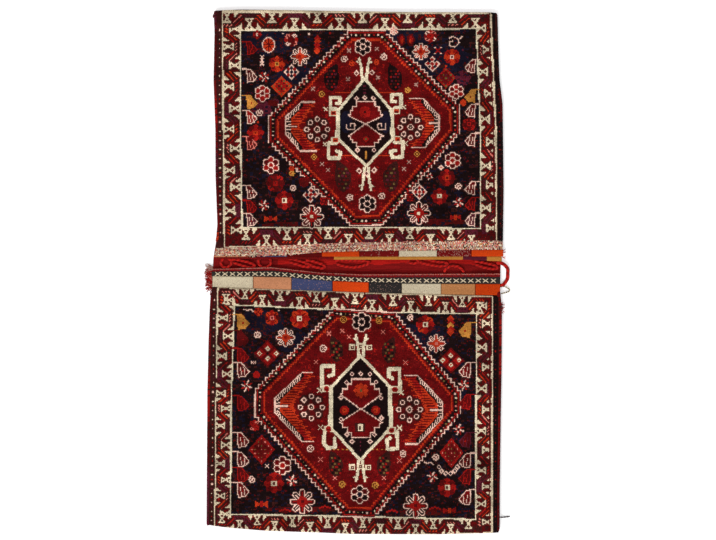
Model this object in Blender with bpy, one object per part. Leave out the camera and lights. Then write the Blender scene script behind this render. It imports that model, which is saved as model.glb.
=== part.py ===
"""Woven double saddle bag, laid flat on its back.

Two pouches with knotted pile fronts share one flat-woven back. Their mouths face each other across a
bridge, where braided loops lie ready to pass through the slits of the closure strips.
+X is the bag's right, +Y runs along the bag, +Z is up, and the back's underside is at z = 0.
"""

import math

import bmesh
import bpy
from mathutils import Vector

# Plan of the bag
UPPER_WIDTH = 0.603
UPPER_LENGTH = 0.485
LOWER_WIDTH = 0.614
LOWER_LENGTH = 0.499
UPPER_MOUTH_Y = 0.063
LOWER_MOUTH_Y = -0.042

# How the bag lies: each crosswise line's shift along X, and how much its right end is ahead along Y
UPPER_END_SHIFT = -0.0026
UPPER_MOUTH_SHIFT = 0.0058
LOWER_MOUTH_SHIFT = -0.0061
LOWER_END_SHIFT = -0.0100
UPPER_END_SLANT = -0.004
UPPER_MOUTH_SLANT = 0.021
BRIDGE_SLANT = 0.002
LOWER_MOUTH_SLANT = -0.017
LOWER_END_SLANT = -0.014

# Cloth thicknesses and heights
BACK_THICK = 0.003
POCKET_GAP = 0.006
GROUND_THICK = 0.004
PILE_HEIGHT = 0.0027
CARVE_DEPTH = 0.0008
SEAM_GAP = 0.0003
STRIP_THICK = 0.003

# Side bindings: hexagonal section, wrapped in ridges
BINDING_WIDTH = 0.009
BINDING_HEIGHT = 0.017
BINDING_WRAP_PITCH = 0.050
BINDING_WAIST = 0.86

# Pile borders
GUARD_WIDTH = 0.012
SIDE_BORDER_WIDTH = 0.036
UPPER_MOUTH_BORDER = 0.030
UPPER_END_BORDER = 0.040
LOWER_MOUTH_BORDER = 0.037
LOWER_END_BORDER = 0.029
BOW_TIE_PITCH = 0.045
BOW_TIE_LENGTH = 0.033
BOW_TIE_WAIST = 0.008
BORDER_EDGE_LINE = 0.004

# Medallion: stepped outline inside the pile field
MEDALLION_MARGIN = 0.003
MEDALLION_END_FLAT = 0.070
MEDALLION_SIDE_FLAT = 0.050
MEDALLION_STEPS = 10
MEDALLION_BULGE = 0.02
MEDALLION_EDGE_WIDTH = 0.013
UPPER_MEDALLION_INSET = 0.042
LOWER_MEDALLION_INSET = 0.032
UPPER_MEDALLION_SHIFT = 0.012
LOWER_MEDALLION_SHIFT = 0.010
UPPER_WAIST_RISE = 0.009
LOWER_WAIST_RISE = 0.022

# Hooked frame: its width, length and straight side in each pouch, and its hooks and forks
UPPER_FRAME = (0.116, 0.186, 0.058)
LOWER_FRAME = (0.127, 0.218, 0.084)
FRAME_RISE = 0.012
FRAME_BAR = 0.0085
FRAME_TIP_GROWTH = 1.3
HOOK_BAR = 0.007
HOOK_OUT = 0.015
HOOK_RISE = 0.034
HOOK_RETURN = 0.019
HOOK_CURL = 0.013
FORK_ROOT = 0.014
FORK_LENGTH = 0.028
FORK_SPREAD = 0.018
FORK_HEAD = 0.006
FORK_BAR = 0.0055

# Combs at the medallion's sides: how far out and how long in each pouch, and their shape
UPPER_COMB = (0.161, 0.052)
LOWER_COMB = (0.174, 0.068)
COMB_ROOT = 0.102
COMB_BACK = 0.017
COMB_SLOPE = 0.028
COMB_VALLEY = 0.90
COMB_TOOTH = 0.80

# Closure strips, measured from each mouth towards the bridge
MOTTLED_BAND = 0.027
UPPER_BLOCK_BAND = 0.008
GOLD_HEM = 0.006
LOWER_BLOCK_BAND = 0.022
STITCH_BAND = 0.012
LOWER_HEM = 0.005
SLIT_WIDTH = 0.0009
STITCH_PITCH = 0.0205
STITCH_SIZE = 0.008
STITCH_RELIEF = 0.0008

# Closure loops
LOOP_CORD = 0.0042
SIDE_LOOP_CORD = 0.0068
LOOP_END_CORD = 0.0075

# Yarn colours, as displayed red, green and blue
YARNS = {
    "ivory": (0.80, 0.74, 0.64),
    "indigo": (0.08, 0.09, 0.14),
    "madder": (0.57, 0.07, 0.08),
    "dark_red": (0.36, 0.05, 0.09),
    "orange": (0.82, 0.27, 0.09),
    "gold": (0.72, 0.50, 0.20),
    "salmon": (0.78, 0.53, 0.38),
    "blue": (0.18, 0.25, 0.50),
    "charcoal": (0.17, 0.17, 0.18),
    "tan": (0.70, 0.55, 0.36),
    "pink": (0.80, 0.58, 0.55),
    "brown": (0.20, 0.10, 0.09),
    "bright_red": (0.72, 0.10, 0.10),
    "mauve": (0.58, 0.40, 0.38),
}
LONG_EDGE = 0.1
WOOL_ROUGHNESS = 0.92
DISPLAY_GAMMA = 2.2

# Heights worked out from the thicknesses
FRONT_LOW = BACK_THICK + POCKET_GAP
FRONT_TOP = FRONT_LOW + GROUND_THICK
PILE_LOW = FRONT_TOP + SEAM_GAP
PILE_TOP = PILE_LOW + PILE_HEIGHT
CARVED_TOP = PILE_TOP + CARVE_DEPTH
FOLD_OUTER = PILE_TOP / 2
FOLD_INNER = FOLD_OUTER - BACK_THICK
STRIP_LOW = FRONT_LOW
STRIP_TOP = STRIP_LOW + STRIP_THICK
UPPER_END_Y = UPPER_MOUTH_Y + UPPER_LENGTH
LOWER_END_Y = LOWER_MOUTH_Y - LOWER_LENGTH


def emptied_scene():
    """Remove what the file held, and make the two collections."""
    for thing in list(bpy.data.objects):
        bpy.data.objects.remove(thing, do_unlink=True)
    bag = bpy.data.collections.new("kilim_double_bag")
    helpers = bpy.data.collections.new("cutters")
    bpy.context.scene.collection.children.link(bag)
    bpy.context.scene.collection.children.link(helpers)
    return bag, helpers


BAG, CUTTERS = emptied_scene()


def yarn(colour):
    """The wool material of one dye."""
    name = "wool_" + colour
    found = bpy.data.materials.get(name)
    if found:
        return found
    wool = bpy.data.materials.new(name)
    wool.use_nodes = True
    linear = [channel ** DISPLAY_GAMMA for channel in YARNS[colour]]
    shader = wool.node_tree.nodes["Principled BSDF"]
    shader.inputs["Base Color"].default_value = (*linear, 1)
    shader.inputs["Roughness"].default_value = WOOL_ROUGHNESS
    shader.inputs["Metallic"].default_value = 0
    wool.diffuse_color = (*linear, 1)
    return wool


# The lie of the bag: nominal crosswise lines as (y, shift along X, slant)
LIE = (
    (LOWER_END_Y, LOWER_END_SHIFT, LOWER_END_SLANT),
    (LOWER_END_Y + LOWER_END_BORDER, LOWER_END_SHIFT, 0),
    (LOWER_MOUTH_Y - LOWER_MOUTH_BORDER, LOWER_MOUTH_SHIFT, 0),
    (LOWER_MOUTH_Y, LOWER_MOUTH_SHIFT, LOWER_MOUTH_SLANT),
    ((LOWER_MOUTH_Y + UPPER_MOUTH_Y) / 2, 0, BRIDGE_SLANT),
    (UPPER_MOUTH_Y, UPPER_MOUTH_SHIFT, UPPER_MOUTH_SLANT),
    (UPPER_MOUTH_Y + UPPER_MOUTH_BORDER, UPPER_MOUTH_SHIFT, 0),
    (UPPER_END_Y - UPPER_END_BORDER, UPPER_END_SHIFT, 0),
    (UPPER_END_Y, UPPER_END_SHIFT, UPPER_END_SLANT),
)


def laid(x, y):
    """Where a point of the squared-up bag comes to lie."""
    low, high = LIE[0], LIE[1]
    for low, high in zip(LIE, LIE[1:]):
        if y <= high[0]:
            break
    share = min(1, max(0, (y - low[0]) / (high[0] - low[0])))
    shift = low[1] + (high[1] - low[1]) * share
    slant = low[2] + (high[2] - low[2]) * share
    return x + shift, y + slant * x / UPPER_WIDTH


def lay(mesh):
    for vertex in mesh.vertices:
        vertex.co.x, vertex.co.y = laid(vertex.co.x, vertex.co.y)


def creased(outline):
    """The outline with a point wherever a long edge crosses one of the lie's lines."""
    points = []
    for start, end in zip(outline, outline[1:] + outline[:1]):
        points.append(start)
        rise = end[1] - start[1]
        if abs(rise) < LONG_EDGE:
            continue
        shares = [(line[0] - start[1]) / rise for line in LIE]
        for share in sorted(share for share in shares if 0.001 < share < 0.999):
            points.append((start[0] + (end[0] - start[0]) * share, start[1] + rise * share))
    return points


def meshed(curve_object, name, collection, colour, is_laid=True):
    """The curve as a closed mesh object, in the bag's plan, with its caps welded."""
    bpy.context.view_layer.update()
    evaluated = curve_object.evaluated_get(bpy.context.evaluated_depsgraph_get())
    mesh = bpy.data.meshes.new_from_object(evaluated)
    mesh.transform(curve_object.matrix_world)
    shape = bmesh.new()
    shape.from_mesh(mesh)
    bmesh.ops.remove_doubles(shape, verts=shape.verts, dist=0.00002)
    bmesh.ops.recalc_face_normals(shape, faces=shape.faces)
    shape.to_mesh(mesh)
    shape.free()
    bpy.data.objects.remove(curve_object, do_unlink=True)
    if is_laid:
        lay(mesh)
    mesh.materials.clear()
    mesh.materials.append(yarn(colour))
    piece = bpy.data.objects.new(name, mesh)
    collection.objects.link(piece)
    if collection is CUTTERS:
        piece.hide_render = True
        piece.display_type = "WIRE"
    return piece


def slab(name, outlines, low, high, colour, collection=BAG, is_laid=True):
    """A flat piece from low to high: outlines holds its outer outline, then those of its holes."""
    curve = bpy.data.curves.new(name, "CURVE")
    curve.dimensions = "2D"
    curve.fill_mode = "BOTH"
    curve.extrude = (high - low) / 2
    for outline in (creased(outline) if is_laid else outline for outline in outlines):
        spline = curve.splines.new("POLY")
        spline.points.add(len(outline) - 1)
        for point, (x, y) in zip(spline.points, outline):
            point.co = (x, y, 0, 1)
        spline.use_cyclic_u = True
    flat = bpy.data.objects.new(name + "_outline", curve)
    flat.location.z = (high + low) / 2
    collection.objects.link(flat)
    return meshed(flat, name, collection, colour, is_laid)


def combined(piece, other, operation):
    """Join other to the piece, or take it away, and keep the result as the piece's own mesh."""
    change = piece.modifiers.new("shape", "BOOLEAN")
    change.operation = operation
    change.object = other
    change.solver = "EXACT"
    change.use_self = True
    change.material_mode = "TRANSFER"
    bpy.context.view_layer.update()
    evaluated = piece.evaluated_get(bpy.context.evaluated_depsgraph_get())
    result = bpy.data.meshes.new_from_object(evaluated)
    piece.modifiers.clear()
    piece.data = result
    return piece


# Flat outlines, as lists of (x, y)
def box(left, bottom, right, top):
    return [(left, bottom), (right, bottom), (right, top), (left, top)]


def moved(outline, x, y):
    return [(px + x, py + y) for px, py in outline]


def turned(outline, degrees):
    angle = math.radians(degrees)
    across, along = math.cos(angle), math.sin(angle)
    return [(x * across - y * along, x * along + y * across) for x, y in outline]


def round_outline(radius, sides):
    step = 2 * math.pi / sides
    return [
        (radius * math.cos(step * (k + 0.5)), radius * math.sin(step * (k + 0.5)))
        for k in range(sides)
    ]


def rosette(radius, petals=6, dip=0.68):
    """A flower outline whose edge dips between its petals."""
    outline = []
    for k in range(2 * petals):
        reach = radius if k % 2 == 0 else radius * dip
        angle = math.pi * k / petals
        outline.append((reach * math.cos(angle), reach * math.sin(angle)))
    return outline


def diamond(half_width, half_length):
    return [(half_width, 0), (0, half_length), (-half_width, 0), (0, -half_length)]


def boteh(length):
    """A leaf with its tip bent to one side."""
    shares = ((0, -0.5), (0.30, -0.18), (0.26, 0.18), (0.05, 0.5), (-0.12, 0.32), (-0.30, -0.12))
    return [(x * length, y * length) for x, y in shares]


def bow_tie(across, along, waist):
    """Two triangles point to point, with their ends along Y."""
    return [
        (-across / 2, -along / 2),
        (across / 2, -along / 2),
        (waist / 2, 0),
        (across / 2, along / 2),
        (-across / 2, along / 2),
        (-waist / 2, 0),
    ]


def stepped_octagon(half_width, half_length, end_flat, side_flat, side_rise, steps):
    """The medallion's outline: flat ends and sides, joined by stepped diagonals that bulge a little."""
    def quarter(start):
        corner = [(half_width, start)]
        for k in range(steps):
            share = (k + 0.5) / steps
            y = start + (half_length - start) * (share + MEDALLION_BULGE * math.sin(math.pi * share))
            for place in (k, k + 1):
                corner.append((half_width - (half_width - end_flat / 2) * place / steps, y))
        return corner + [(end_flat / 2, half_length)]

    above, below = quarter(side_flat / 2 + side_rise), quarter(side_flat / 2 - side_rise)
    upper = above + [(-x, y) for x, y in reversed(above)]
    lower = below + [(-x, y) for x, y in reversed(below)]
    return upper + [(-x, -y) for x, y in lower]


def hexagon(half_width, half_length, side):
    return [
        (0, half_length),
        (-half_width, side / 2),
        (-half_width, -side / 2),
        (0, -half_length),
        (half_width, -side / 2),
        (half_width, side / 2),
    ]


def bar(start, end, width):
    """A straight bar between two points, as long as it needs to be to join square with the next."""
    run = Vector(end) - Vector(start)
    ahead = run.normalized() * width / 2
    aside = Vector((-ahead.y, ahead.x))
    first, last = Vector(start) - ahead, Vector(end) + ahead
    return [tuple(first + aside), tuple(first - aside), tuple(last - aside), tuple(last + aside)]


def comb(root, reach, half_length, back, slope):
    """A wing bent round its root: a straight-sided back, and saw teeth on the side of the root."""
    outer = [
        (root, half_length), (reach - slope, half_length), (reach, back),
        (reach, -back), (reach - slope, -half_length), (root, -half_length),
    ]
    valleys = [Vector(point) * COMB_VALLEY for point in outer]
    teeth = [(Vector(start) + Vector(end)) / 2 * COMB_TOOTH for start, end in zip(outer, outer[1:])]
    inner = [point for pair in zip(valleys, teeth) for point in pair] + valleys[-1:]
    return outer + [tuple(point) for point in reversed(inner)]


class Pouch:
    """One pouch in the squared-up plan: which way it runs from its mouth, and its pile zones."""

    def __init__(self, name, side, size, mouth_y, borders, medallion, frame, comb_size):
        self.name = name
        self.side = side
        self.half = size[0] / 2
        self.mouth_y = mouth_y
        self.end_y = mouth_y + side * size[1]
        self.mouth_border, self.end_border = borders
        self.medallion_inset, self.centre_x, self.side_rise = medallion
        self.frame_half, self.frame_half_length, self.frame_half_side = (extent / 2 for extent in frame)
        self.comb_reach, self.comb_half_length = comb_size
        self.pile_end_y = self.end_y - side * FOLD_OUTER
        self.cloth_half = self.half - BINDING_WIDTH - SEAM_GAP
        self.border_half = self.cloth_half - GUARD_WIDTH - SEAM_GAP
        self.field_half = self.border_half - SIDE_BORDER_WIDTH
        self.field_near = mouth_y + side * self.mouth_border
        self.field_far = self.end_y - side * self.end_border
        self.centre_y = (self.field_near + self.field_far) / 2
        self.frame_y = self.centre_y + FRAME_RISE
        self.wing_y = self.centre_y + self.side_rise / 2
        self.field_half_length = abs(self.field_far - self.field_near) / 2

    def span(self, near, far):
        """Two distances from the mouth, as the lower and the upper y."""
        return sorted((self.mouth_y + self.side * near, self.mouth_y + self.side * far))

    def spot(self, across, along):
        """A place in the field, in shares of its half width and half length, +1 at its top."""
        return across * self.field_half, self.centre_y + along * self.field_half_length


UPPER = Pouch(
    "upper", 1, (UPPER_WIDTH, UPPER_LENGTH), UPPER_MOUTH_Y, (UPPER_MOUTH_BORDER, UPPER_END_BORDER),
    (UPPER_MEDALLION_INSET, UPPER_MEDALLION_SHIFT, UPPER_WAIST_RISE), UPPER_FRAME, UPPER_COMB)
LOWER = Pouch(
    "lower", -1, (LOWER_WIDTH, LOWER_LENGTH), LOWER_MOUTH_Y, (LOWER_MOUTH_BORDER, LOWER_END_BORDER),
    (LOWER_MEDALLION_INSET, LOWER_MEDALLION_SHIFT, LOWER_WAIST_RISE), LOWER_FRAME, LOWER_COMB)


# The flat-woven back, in one piece with the bridge and the fold at each pouch's far end
FOLD_SEGMENTS = 6


def back_profile():
    """The back's section along the bag, as (y, z): a plate whose ends curl up to meet the fronts."""
    def fold(y, side, radius, backwards):
        points = []
        for k in range(FOLD_SEGMENTS + 1):
            angle = math.pi * k / FOLD_SEGMENTS
            points.append((y + side * radius * math.sin(angle), FOLD_OUTER - radius * math.cos(angle)))
        return list(reversed(points)) if backwards else points

    creases = [line[0] for line in LIE[1:-1]]
    under = [(y, 0) for y in creases]
    over = [(y, BACK_THICK) for y in reversed(creases)]
    right = fold(UPPER.pile_end_y, 1, FOLD_OUTER, False) + fold(UPPER.pile_end_y, 1, FOLD_INNER, True)
    left = fold(LOWER.pile_end_y, -1, FOLD_INNER, False) + fold(LOWER.pile_end_y, -1, FOLD_OUTER, True)
    return under + right + over + left


def back_plan():
    """The back's plan: each pouch's cloth width, and the bridge between them."""
    margin = 2 * FOLD_OUTER
    right = [
        (LOWER.cloth_half, LOWER_END_Y - margin),
        (LOWER.cloth_half, LOWER_MOUTH_Y),
        (UPPER.cloth_half, UPPER_MOUTH_Y),
        (UPPER.cloth_half, UPPER_END_Y + margin),
    ]
    return right + [(-x, y) for x, y in reversed(right)]


def kilim_back():
    widest = max(UPPER_WIDTH, LOWER_WIDTH)
    plate = slab("kilim_back", [back_profile()], -widest / 2, widest / 2, "madder", is_laid=False)
    for vertex in plate.data.vertices:
        along, up, across = vertex.co
        vertex.co = (across, along, up)
    plan = slab("back_plan", [back_plan()], -CARVED_TOP, 2 * CARVED_TOP, "madder", CUTTERS, is_laid=False)
    combined(plate, plan, "INTERSECT")
    lay(plate.data)


# Pile fronts: a knotted ground under each, and its dyed fields on top
def pile(pouch, part, outlines, colour):
    return slab(f"{part}_{pouch.name}", outlines, PILE_LOW, CARVED_TOP, colour)


def medallion_outline(pouch, inset, steps=MEDALLION_STEPS):
    """The medallion's outline, brought in by the inset; with no steps, its diagonals are plain."""
    outline = stepped_octagon(
        pouch.field_half - pouch.medallion_inset - inset,
        pouch.field_half_length - MEDALLION_MARGIN - inset,
        MEDALLION_END_FLAT,
        MEDALLION_SIDE_FLAT,
        pouch.side_rise,
        steps,
    )
    return moved(outline, pouch.centre_x, pouch.centre_y)


def frame_outline(pouch, grown):
    half_length = pouch.frame_half_length + grown * FRAME_TIP_GROWTH
    outline = hexagon(pouch.frame_half + grown, half_length, 2 * pouch.frame_half_side)
    return moved(outline, pouch.centre_x, pouch.frame_y)


def frame_bars(pouch, grown):
    """The hooks at the frame's four shoulders and the two prongs at each tip, as overlapping bars."""
    hook = [Vector((pouch.frame_half - FRAME_BAR / 2, pouch.frame_half_side))]
    for step in ((HOOK_OUT, 0), (0, HOOK_RISE), (-HOOK_RETURN, 0), (0, -HOOK_CURL)):
        hook.append(hook[-1] + Vector(step))
    root = Vector((FORK_SPREAD / 2, pouch.frame_half_length - FORK_ROOT))
    tip = root + Vector((0, FORK_LENGTH))
    head = (tip + Vector((FORK_HEAD, -FORK_HEAD / 2)), tip + Vector((0, FORK_HEAD)))
    bars = [bar(a, b, HOOK_BAR + 2 * grown) for a, b in zip(hook, hook[1:])]
    bars += [bar(a, b, FORK_BAR + 2 * grown) for a, b in ((root, tip), head)]
    bars += [[(-x, y) for x, y in reversed(outline)] for outline in bars]
    bars += [[(x, -y) for x, y in reversed(outline)] for outline in bars]
    return [moved(outline, pouch.centre_x, pouch.frame_y) for outline in bars]


def motif_cutter(name, outlines, low, high):
    """Overlapping prisms in one cutter."""
    cutter = bpy.data.objects.new(name, bpy.data.meshes.new(name))
    shape = bmesh.new()
    for outline in outlines:
        prism = slab(name + "_piece", [outline], low, high, "ivory", CUTTERS)
        shape.from_mesh(prism.data)
        bpy.data.objects.remove(prism, do_unlink=True)
    shape.to_mesh(cutter.data)
    shape.free()
    cutter.hide_render = True
    cutter.display_type = "WIRE"
    CUTTERS.objects.link(cutter)
    return cutter


def border_motifs(pouch):
    """Ivory bow-ties round the border, stepping in and out in turn."""
    motifs = []
    across = SIDE_BORDER_WIDTH - 2 * BORDER_EDGE_LINE
    low, high = sorted((pouch.field_near, pouch.field_far))
    count = round((high - low) / BOW_TIE_PITCH)
    middle = (pouch.border_half + pouch.field_half) / 2
    for k in range(count):
        y = low + (high - low) * (k + 0.5) / count
        tie = bow_tie(across, BOW_TIE_LENGTH, BOW_TIE_WAIST)
        motifs += [(moved(tie, -middle, y), "ivory"), (moved(tie, middle, y), "ivory")]
    count = round(2 * pouch.border_half / BOW_TIE_PITCH)
    for edge, inner in ((pouch.mouth_y, pouch.field_near), (pouch.pile_end_y, pouch.field_far)):
        across = abs(edge - inner) - 2 * BORDER_EDGE_LINE
        for k in range(count):
            x = pouch.border_half * (2 * (k + 0.5) / count - 1)
            tie = turned(bow_tie(across, BOW_TIE_LENGTH, BOW_TIE_WAIST), 90)
            motifs.append((moved(tie, x, (edge + inner) / 2), "ivory"))
    return motifs


# Motifs of each field: outline, colour, and places as shares of the field's half sizes
BIG_FLOWER = rosette(0.022, 5)
FLOWER = rosette(0.017, 4)
SMALL_FLOWER = round_outline(0.011, 6)
LATTICE = diamond(0.016, 0.018)
LARGE_LATTICE = diamond(0.025, 0.027)
LEAF = boteh(0.028)
DARK_LEAF = boteh(0.044)

UPPER_FIELD = (
    (BIG_FLOWER, "ivory", ((-0.49, 0.73), (0.55, 0.78), (-0.42, -0.88), (0.50, -0.86))),
    (FLOWER, "madder", ((-0.56, 0.89), (-0.69, 0.66), (0.82, 0.72), (-0.65, -0.73), (0.69, -0.69))),
    (FLOWER, "ivory", ((-0.76, -0.37), (0.81, -0.32), (0.63, 0.93), (-0.80, 0.36), (0.85, 0.38))),
    (FLOWER, "pink", ((-0.76, 0.85), (-0.73, -0.54), (0.74, -0.50))),
    (LATTICE, "ivory", ((-0.56, 0.57), (0.65, 0.66), (-0.42, -0.67), (0.52, -0.64))),
    (LATTICE, "orange", ((-0.64, 0.43), (0.76, 0.52), (-0.76, -0.91), (0.83, -0.90))),
    (SMALL_FLOWER, "orange", ((0.93, 0.04), (-0.88, -0.04), (-0.80, 0.53), (-0.82, -0.77), (0.85, -0.75))),
    (LEAF, "salmon", ((-0.93, 0.54), (0.94, 0.63), (0.94, 0.19), (-0.93, -0.15), (0.94, -0.60))),
    (LEAF, "madder", ((-0.94, 0.81), (-0.93, -0.64), (0.94, -0.78), (0.94, -0.11))),
    (LEAF, "gold", ((-0.94, 0.27), (0.94, 0.33))),
)
LOWER_FIELD = (
    (BIG_FLOWER, "ivory", ((-0.58, 0.73), (-0.43, -0.86), (0.53, -0.88))),
    (FLOWER, "madder", ((-0.70, 0.91), (-0.46, 0.91), (0.60, 0.86), (-0.67, -0.69), (0.79, -0.72))),
    (FLOWER, "ivory", ((0.69, 0.67), (-0.60, -0.51))),
    (LARGE_LATTICE, "madder", ((-0.73, 0.57), (0.81, 0.51), (-0.77, -0.36), (0.83, -0.39))),
    (SMALL_FLOWER, "ivory", (
        (-0.82, 0.76), (-0.91, 0.26), (0.92, 0.24), (0.88, -0.16), (-0.85, -0.65), (0.70, -0.58))),
    (LATTICE, "gold", ((-0.77, -0.89), (0.81, -0.91))),
    (LEAF, "gold", ((-0.95, 0.88), (0.94, 0.80))),
    (LEAF, "madder", ((-0.95, 0.60), (0.94, 0.11), (0.94, -0.62), (-0.95, -0.45))),
    (LEAF, "salmon", ((-0.95, 0.42), (0.94, 0.41), (-0.95, -0.24), (-0.95, -0.75), (0.94, -0.82))),
)
RED_VASE = [
    (-0.020, 0.043), (-0.020, 0.036), (-0.028, 0.036), (-0.028, 0.022), (-0.036, 0.016), (-0.027, 0.010),
    (-0.003, 0.003), (0.003, 0.003), (0.027, 0.010), (0.036, 0.016), (0.028, 0.022), (0.028, 0.036),
    (0.020, 0.036), (0.020, 0.043),
]
WING_FLOWER_X = 0.101
CENTRE_FLOWER_Y = 0.172
LEAF_X = 0.062
LEAF_BEYOND = 0.013


def medallion_motifs(pouch):
    """What the madder ground carries: the combs, four leaves, and flowers at its ends and sides."""
    motifs = []
    wing = comb(COMB_ROOT, pouch.comb_reach, pouch.comb_half_length, COMB_BACK, COMB_SLOPE)
    for flip_x in (-1, 1):
        outline = [(x * flip_x, y) for x, y in wing]
        motifs.append((moved(outline, pouch.centre_x, pouch.wing_y), "orange"))
        for flip_y in (-1, 1):
            leaf = [(x * flip_x, y * flip_y) for x, y in DARK_LEAF]
            leaf_y = pouch.frame_y + (pouch.frame_half_length + LEAF_BEYOND) * flip_y
            motifs.append((moved(leaf, pouch.centre_x + LEAF_X * flip_x, leaf_y), "brown"))
        motifs.append((moved(BIG_FLOWER, pouch.centre_x + WING_FLOWER_X * flip_x, pouch.wing_y), "ivory"))
        motifs.append((moved(FLOWER, pouch.centre_x, pouch.centre_y + CENTRE_FLOWER_Y * flip_x), "ivory"))
    return motifs


def centre_motifs(pouch):
    """Two red vases mouth to mouth in the dark centre, and the little flower of each."""
    motifs = []
    for flip in (-1, 1):
        vase = [(x, y * flip) for x, y in RED_VASE]
        motifs.append((moved(vase, pouch.centre_x, pouch.frame_y), "madder"))
    return motifs


def field_motifs(pouch, rows):
    motifs = []
    for outline, colour, places in rows:
        for across, along in places:
            motifs.append((moved(outline, *pouch.spot(across, along)), colour))
    return motifs


def holds(outline, x, y):
    """Whether the outline goes round the point."""
    inside = False
    for (ax, ay), (bx, by) in zip(outline, outline[1:] + outline[:1]):
        if (ay > y) != (by > y) and x < (bx - ax) * (y - ay) / (by - ay) + ax:
            inside = not inside
    return inside


def paint(piece, ground, motifs):
    """Give the carved pile its dyes: the ground's, and each raised motif's own."""
    piece.data.materials.clear()
    colours = [ground] + sorted({colour for _, colour in motifs} - {ground})
    for colour in colours:
        piece.data.materials.append(yarn(colour))
    placed = [([laid(x, y) for x, y in outline], colour) for outline, colour in motifs]
    mesh = piece.data
    mesh.calc_loop_triangles()
    inner_points = {}
    for triangle in mesh.loop_triangles:
        if triangle.area > inner_points.get(triangle.polygon_index, (-1, None))[0]:
            inner_points[triangle.polygon_index] = (triangle.area, triangle.center.copy())
    for face in mesh.polygons:
        face.material_index = 0
        point = inner_points[face.index][1]
        if face.normal.z > 0.5 and point.z > PILE_TOP + CARVE_DEPTH / 2:
            for outline, colour in placed:
                if holds(outline, point.x, point.y):
                    face.material_index = colours.index(colour)


def carve(pouch, fields, motifs):
    """Clip the pile down round the motifs, over all the fields of a front at once."""
    low, high = pouch.span(-pouch.mouth_border, abs(pouch.end_y - pouch.mouth_y) + pouch.end_border)
    sheet = box(-pouch.half, low, pouch.half, high)
    shears = slab(f"shears_{pouch.name}", [sheet], PILE_TOP, CARVED_TOP + 0.001, "ivory", CUTTERS)
    outlines = [outline for outline, _ in motifs]
    kept = motif_cutter(f"motifs_{pouch.name}", outlines, PILE_TOP - 0.001, CARVED_TOP + 0.002)
    combined(shears, kept, "DIFFERENCE")
    for field, ground in fields:
        combined(field, shears, "DIFFERENCE")
        paint(field, ground, motifs)


def pouch_front(pouch, field_rows):
    gap = SEAM_GAP
    low, high = sorted((pouch.mouth_y, pouch.pile_end_y - pouch.side * gap))
    ground = box(-pouch.cloth_half, low, pouch.cloth_half, high)
    slab(f"pouch_front_{pouch.name}", [ground], FRONT_LOW, FRONT_TOP, "dark_red")

    fields = []
    for end, side in (("left", -1), ("right", 1)):
        inner, outer = sorted((side * (pouch.border_half + gap), side * pouch.cloth_half))
        stripe = pile(pouch, f"guard_{end}", [box(inner, low, outer, high)], "brown")
        fields.append((stripe, "brown"))
    field_low, field_high = sorted((pouch.field_near, pouch.field_far))
    border = [
        box(-pouch.border_half, low, pouch.border_half, high),
        box(-pouch.field_half, field_low, pouch.field_half, field_high),
    ]
    fields.append((pile(pouch, "border", border, "ivory"), "dark_red"))
    field = [
        box(-pouch.field_half + gap, field_low + gap, pouch.field_half - gap, field_high - gap),
        medallion_outline(pouch, 0),
    ]
    fields.append((pile(pouch, "indigo_field", field, "indigo"), "indigo"))
    edge = [medallion_outline(pouch, gap), medallion_outline(pouch, MEDALLION_EDGE_WIDTH, 0)]
    fields.append((pile(pouch, "medallion_edge", edge, "pink"), "pink"))
    ground = [medallion_outline(pouch, MEDALLION_EDGE_WIDTH + gap, 0), frame_outline(pouch, gap)]
    medallion = pile(pouch, "medallion", ground, "madder")
    room = frame_bars(pouch, gap)
    around = motif_cutter(f"frame_room_{pouch.name}", room, PILE_LOW - 0.001, CARVED_TOP + 0.003)
    combined(medallion, around, "DIFFERENCE")
    fields.append((medallion, "madder"))
    frame = pile(pouch, "hooked_frame", [frame_outline(pouch, 0), frame_outline(pouch, -FRAME_BAR)], "ivory")
    hooks = motif_cutter(f"hooks_{pouch.name}", frame_bars(pouch, 0), PILE_LOW, CARVED_TOP)
    combined(frame, hooks, "UNION")
    centre = pile(pouch, "centre", [frame_outline(pouch, -FRAME_BAR - gap)], "indigo")
    fields.append((centre, "indigo"))
    motifs = border_motifs(pouch) + field_motifs(pouch, field_rows)
    motifs += medallion_motifs(pouch) + centre_motifs(pouch)
    carve(pouch, fields, motifs)


# Side bindings
def binding_section():
    """The binding's hexagonal section, as a guide curve."""
    half, high, shoulder = BINDING_WIDTH / 2, BINDING_HEIGHT / 2, BINDING_HEIGHT * 0.3
    outline = [
        (0, -high), (half, -shoulder), (half, shoulder),
        (0, high), (-half, shoulder), (-half, -shoulder),
    ]
    curve = bpy.data.curves.new("binding_section", "CURVE")
    curve.dimensions = "2D"
    spline = curve.splines.new("POLY")
    spline.points.add(len(outline) - 1)
    for point, (x, y) in zip(spline.points, outline):
        point.co = (x, y, 0, 1)
    spline.use_cyclic_u = True
    guide = bpy.data.objects.new("binding_section", curve)
    guide.hide_render = True
    guide.display_type = "WIRE"
    CUTTERS.objects.link(guide)
    return guide


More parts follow.
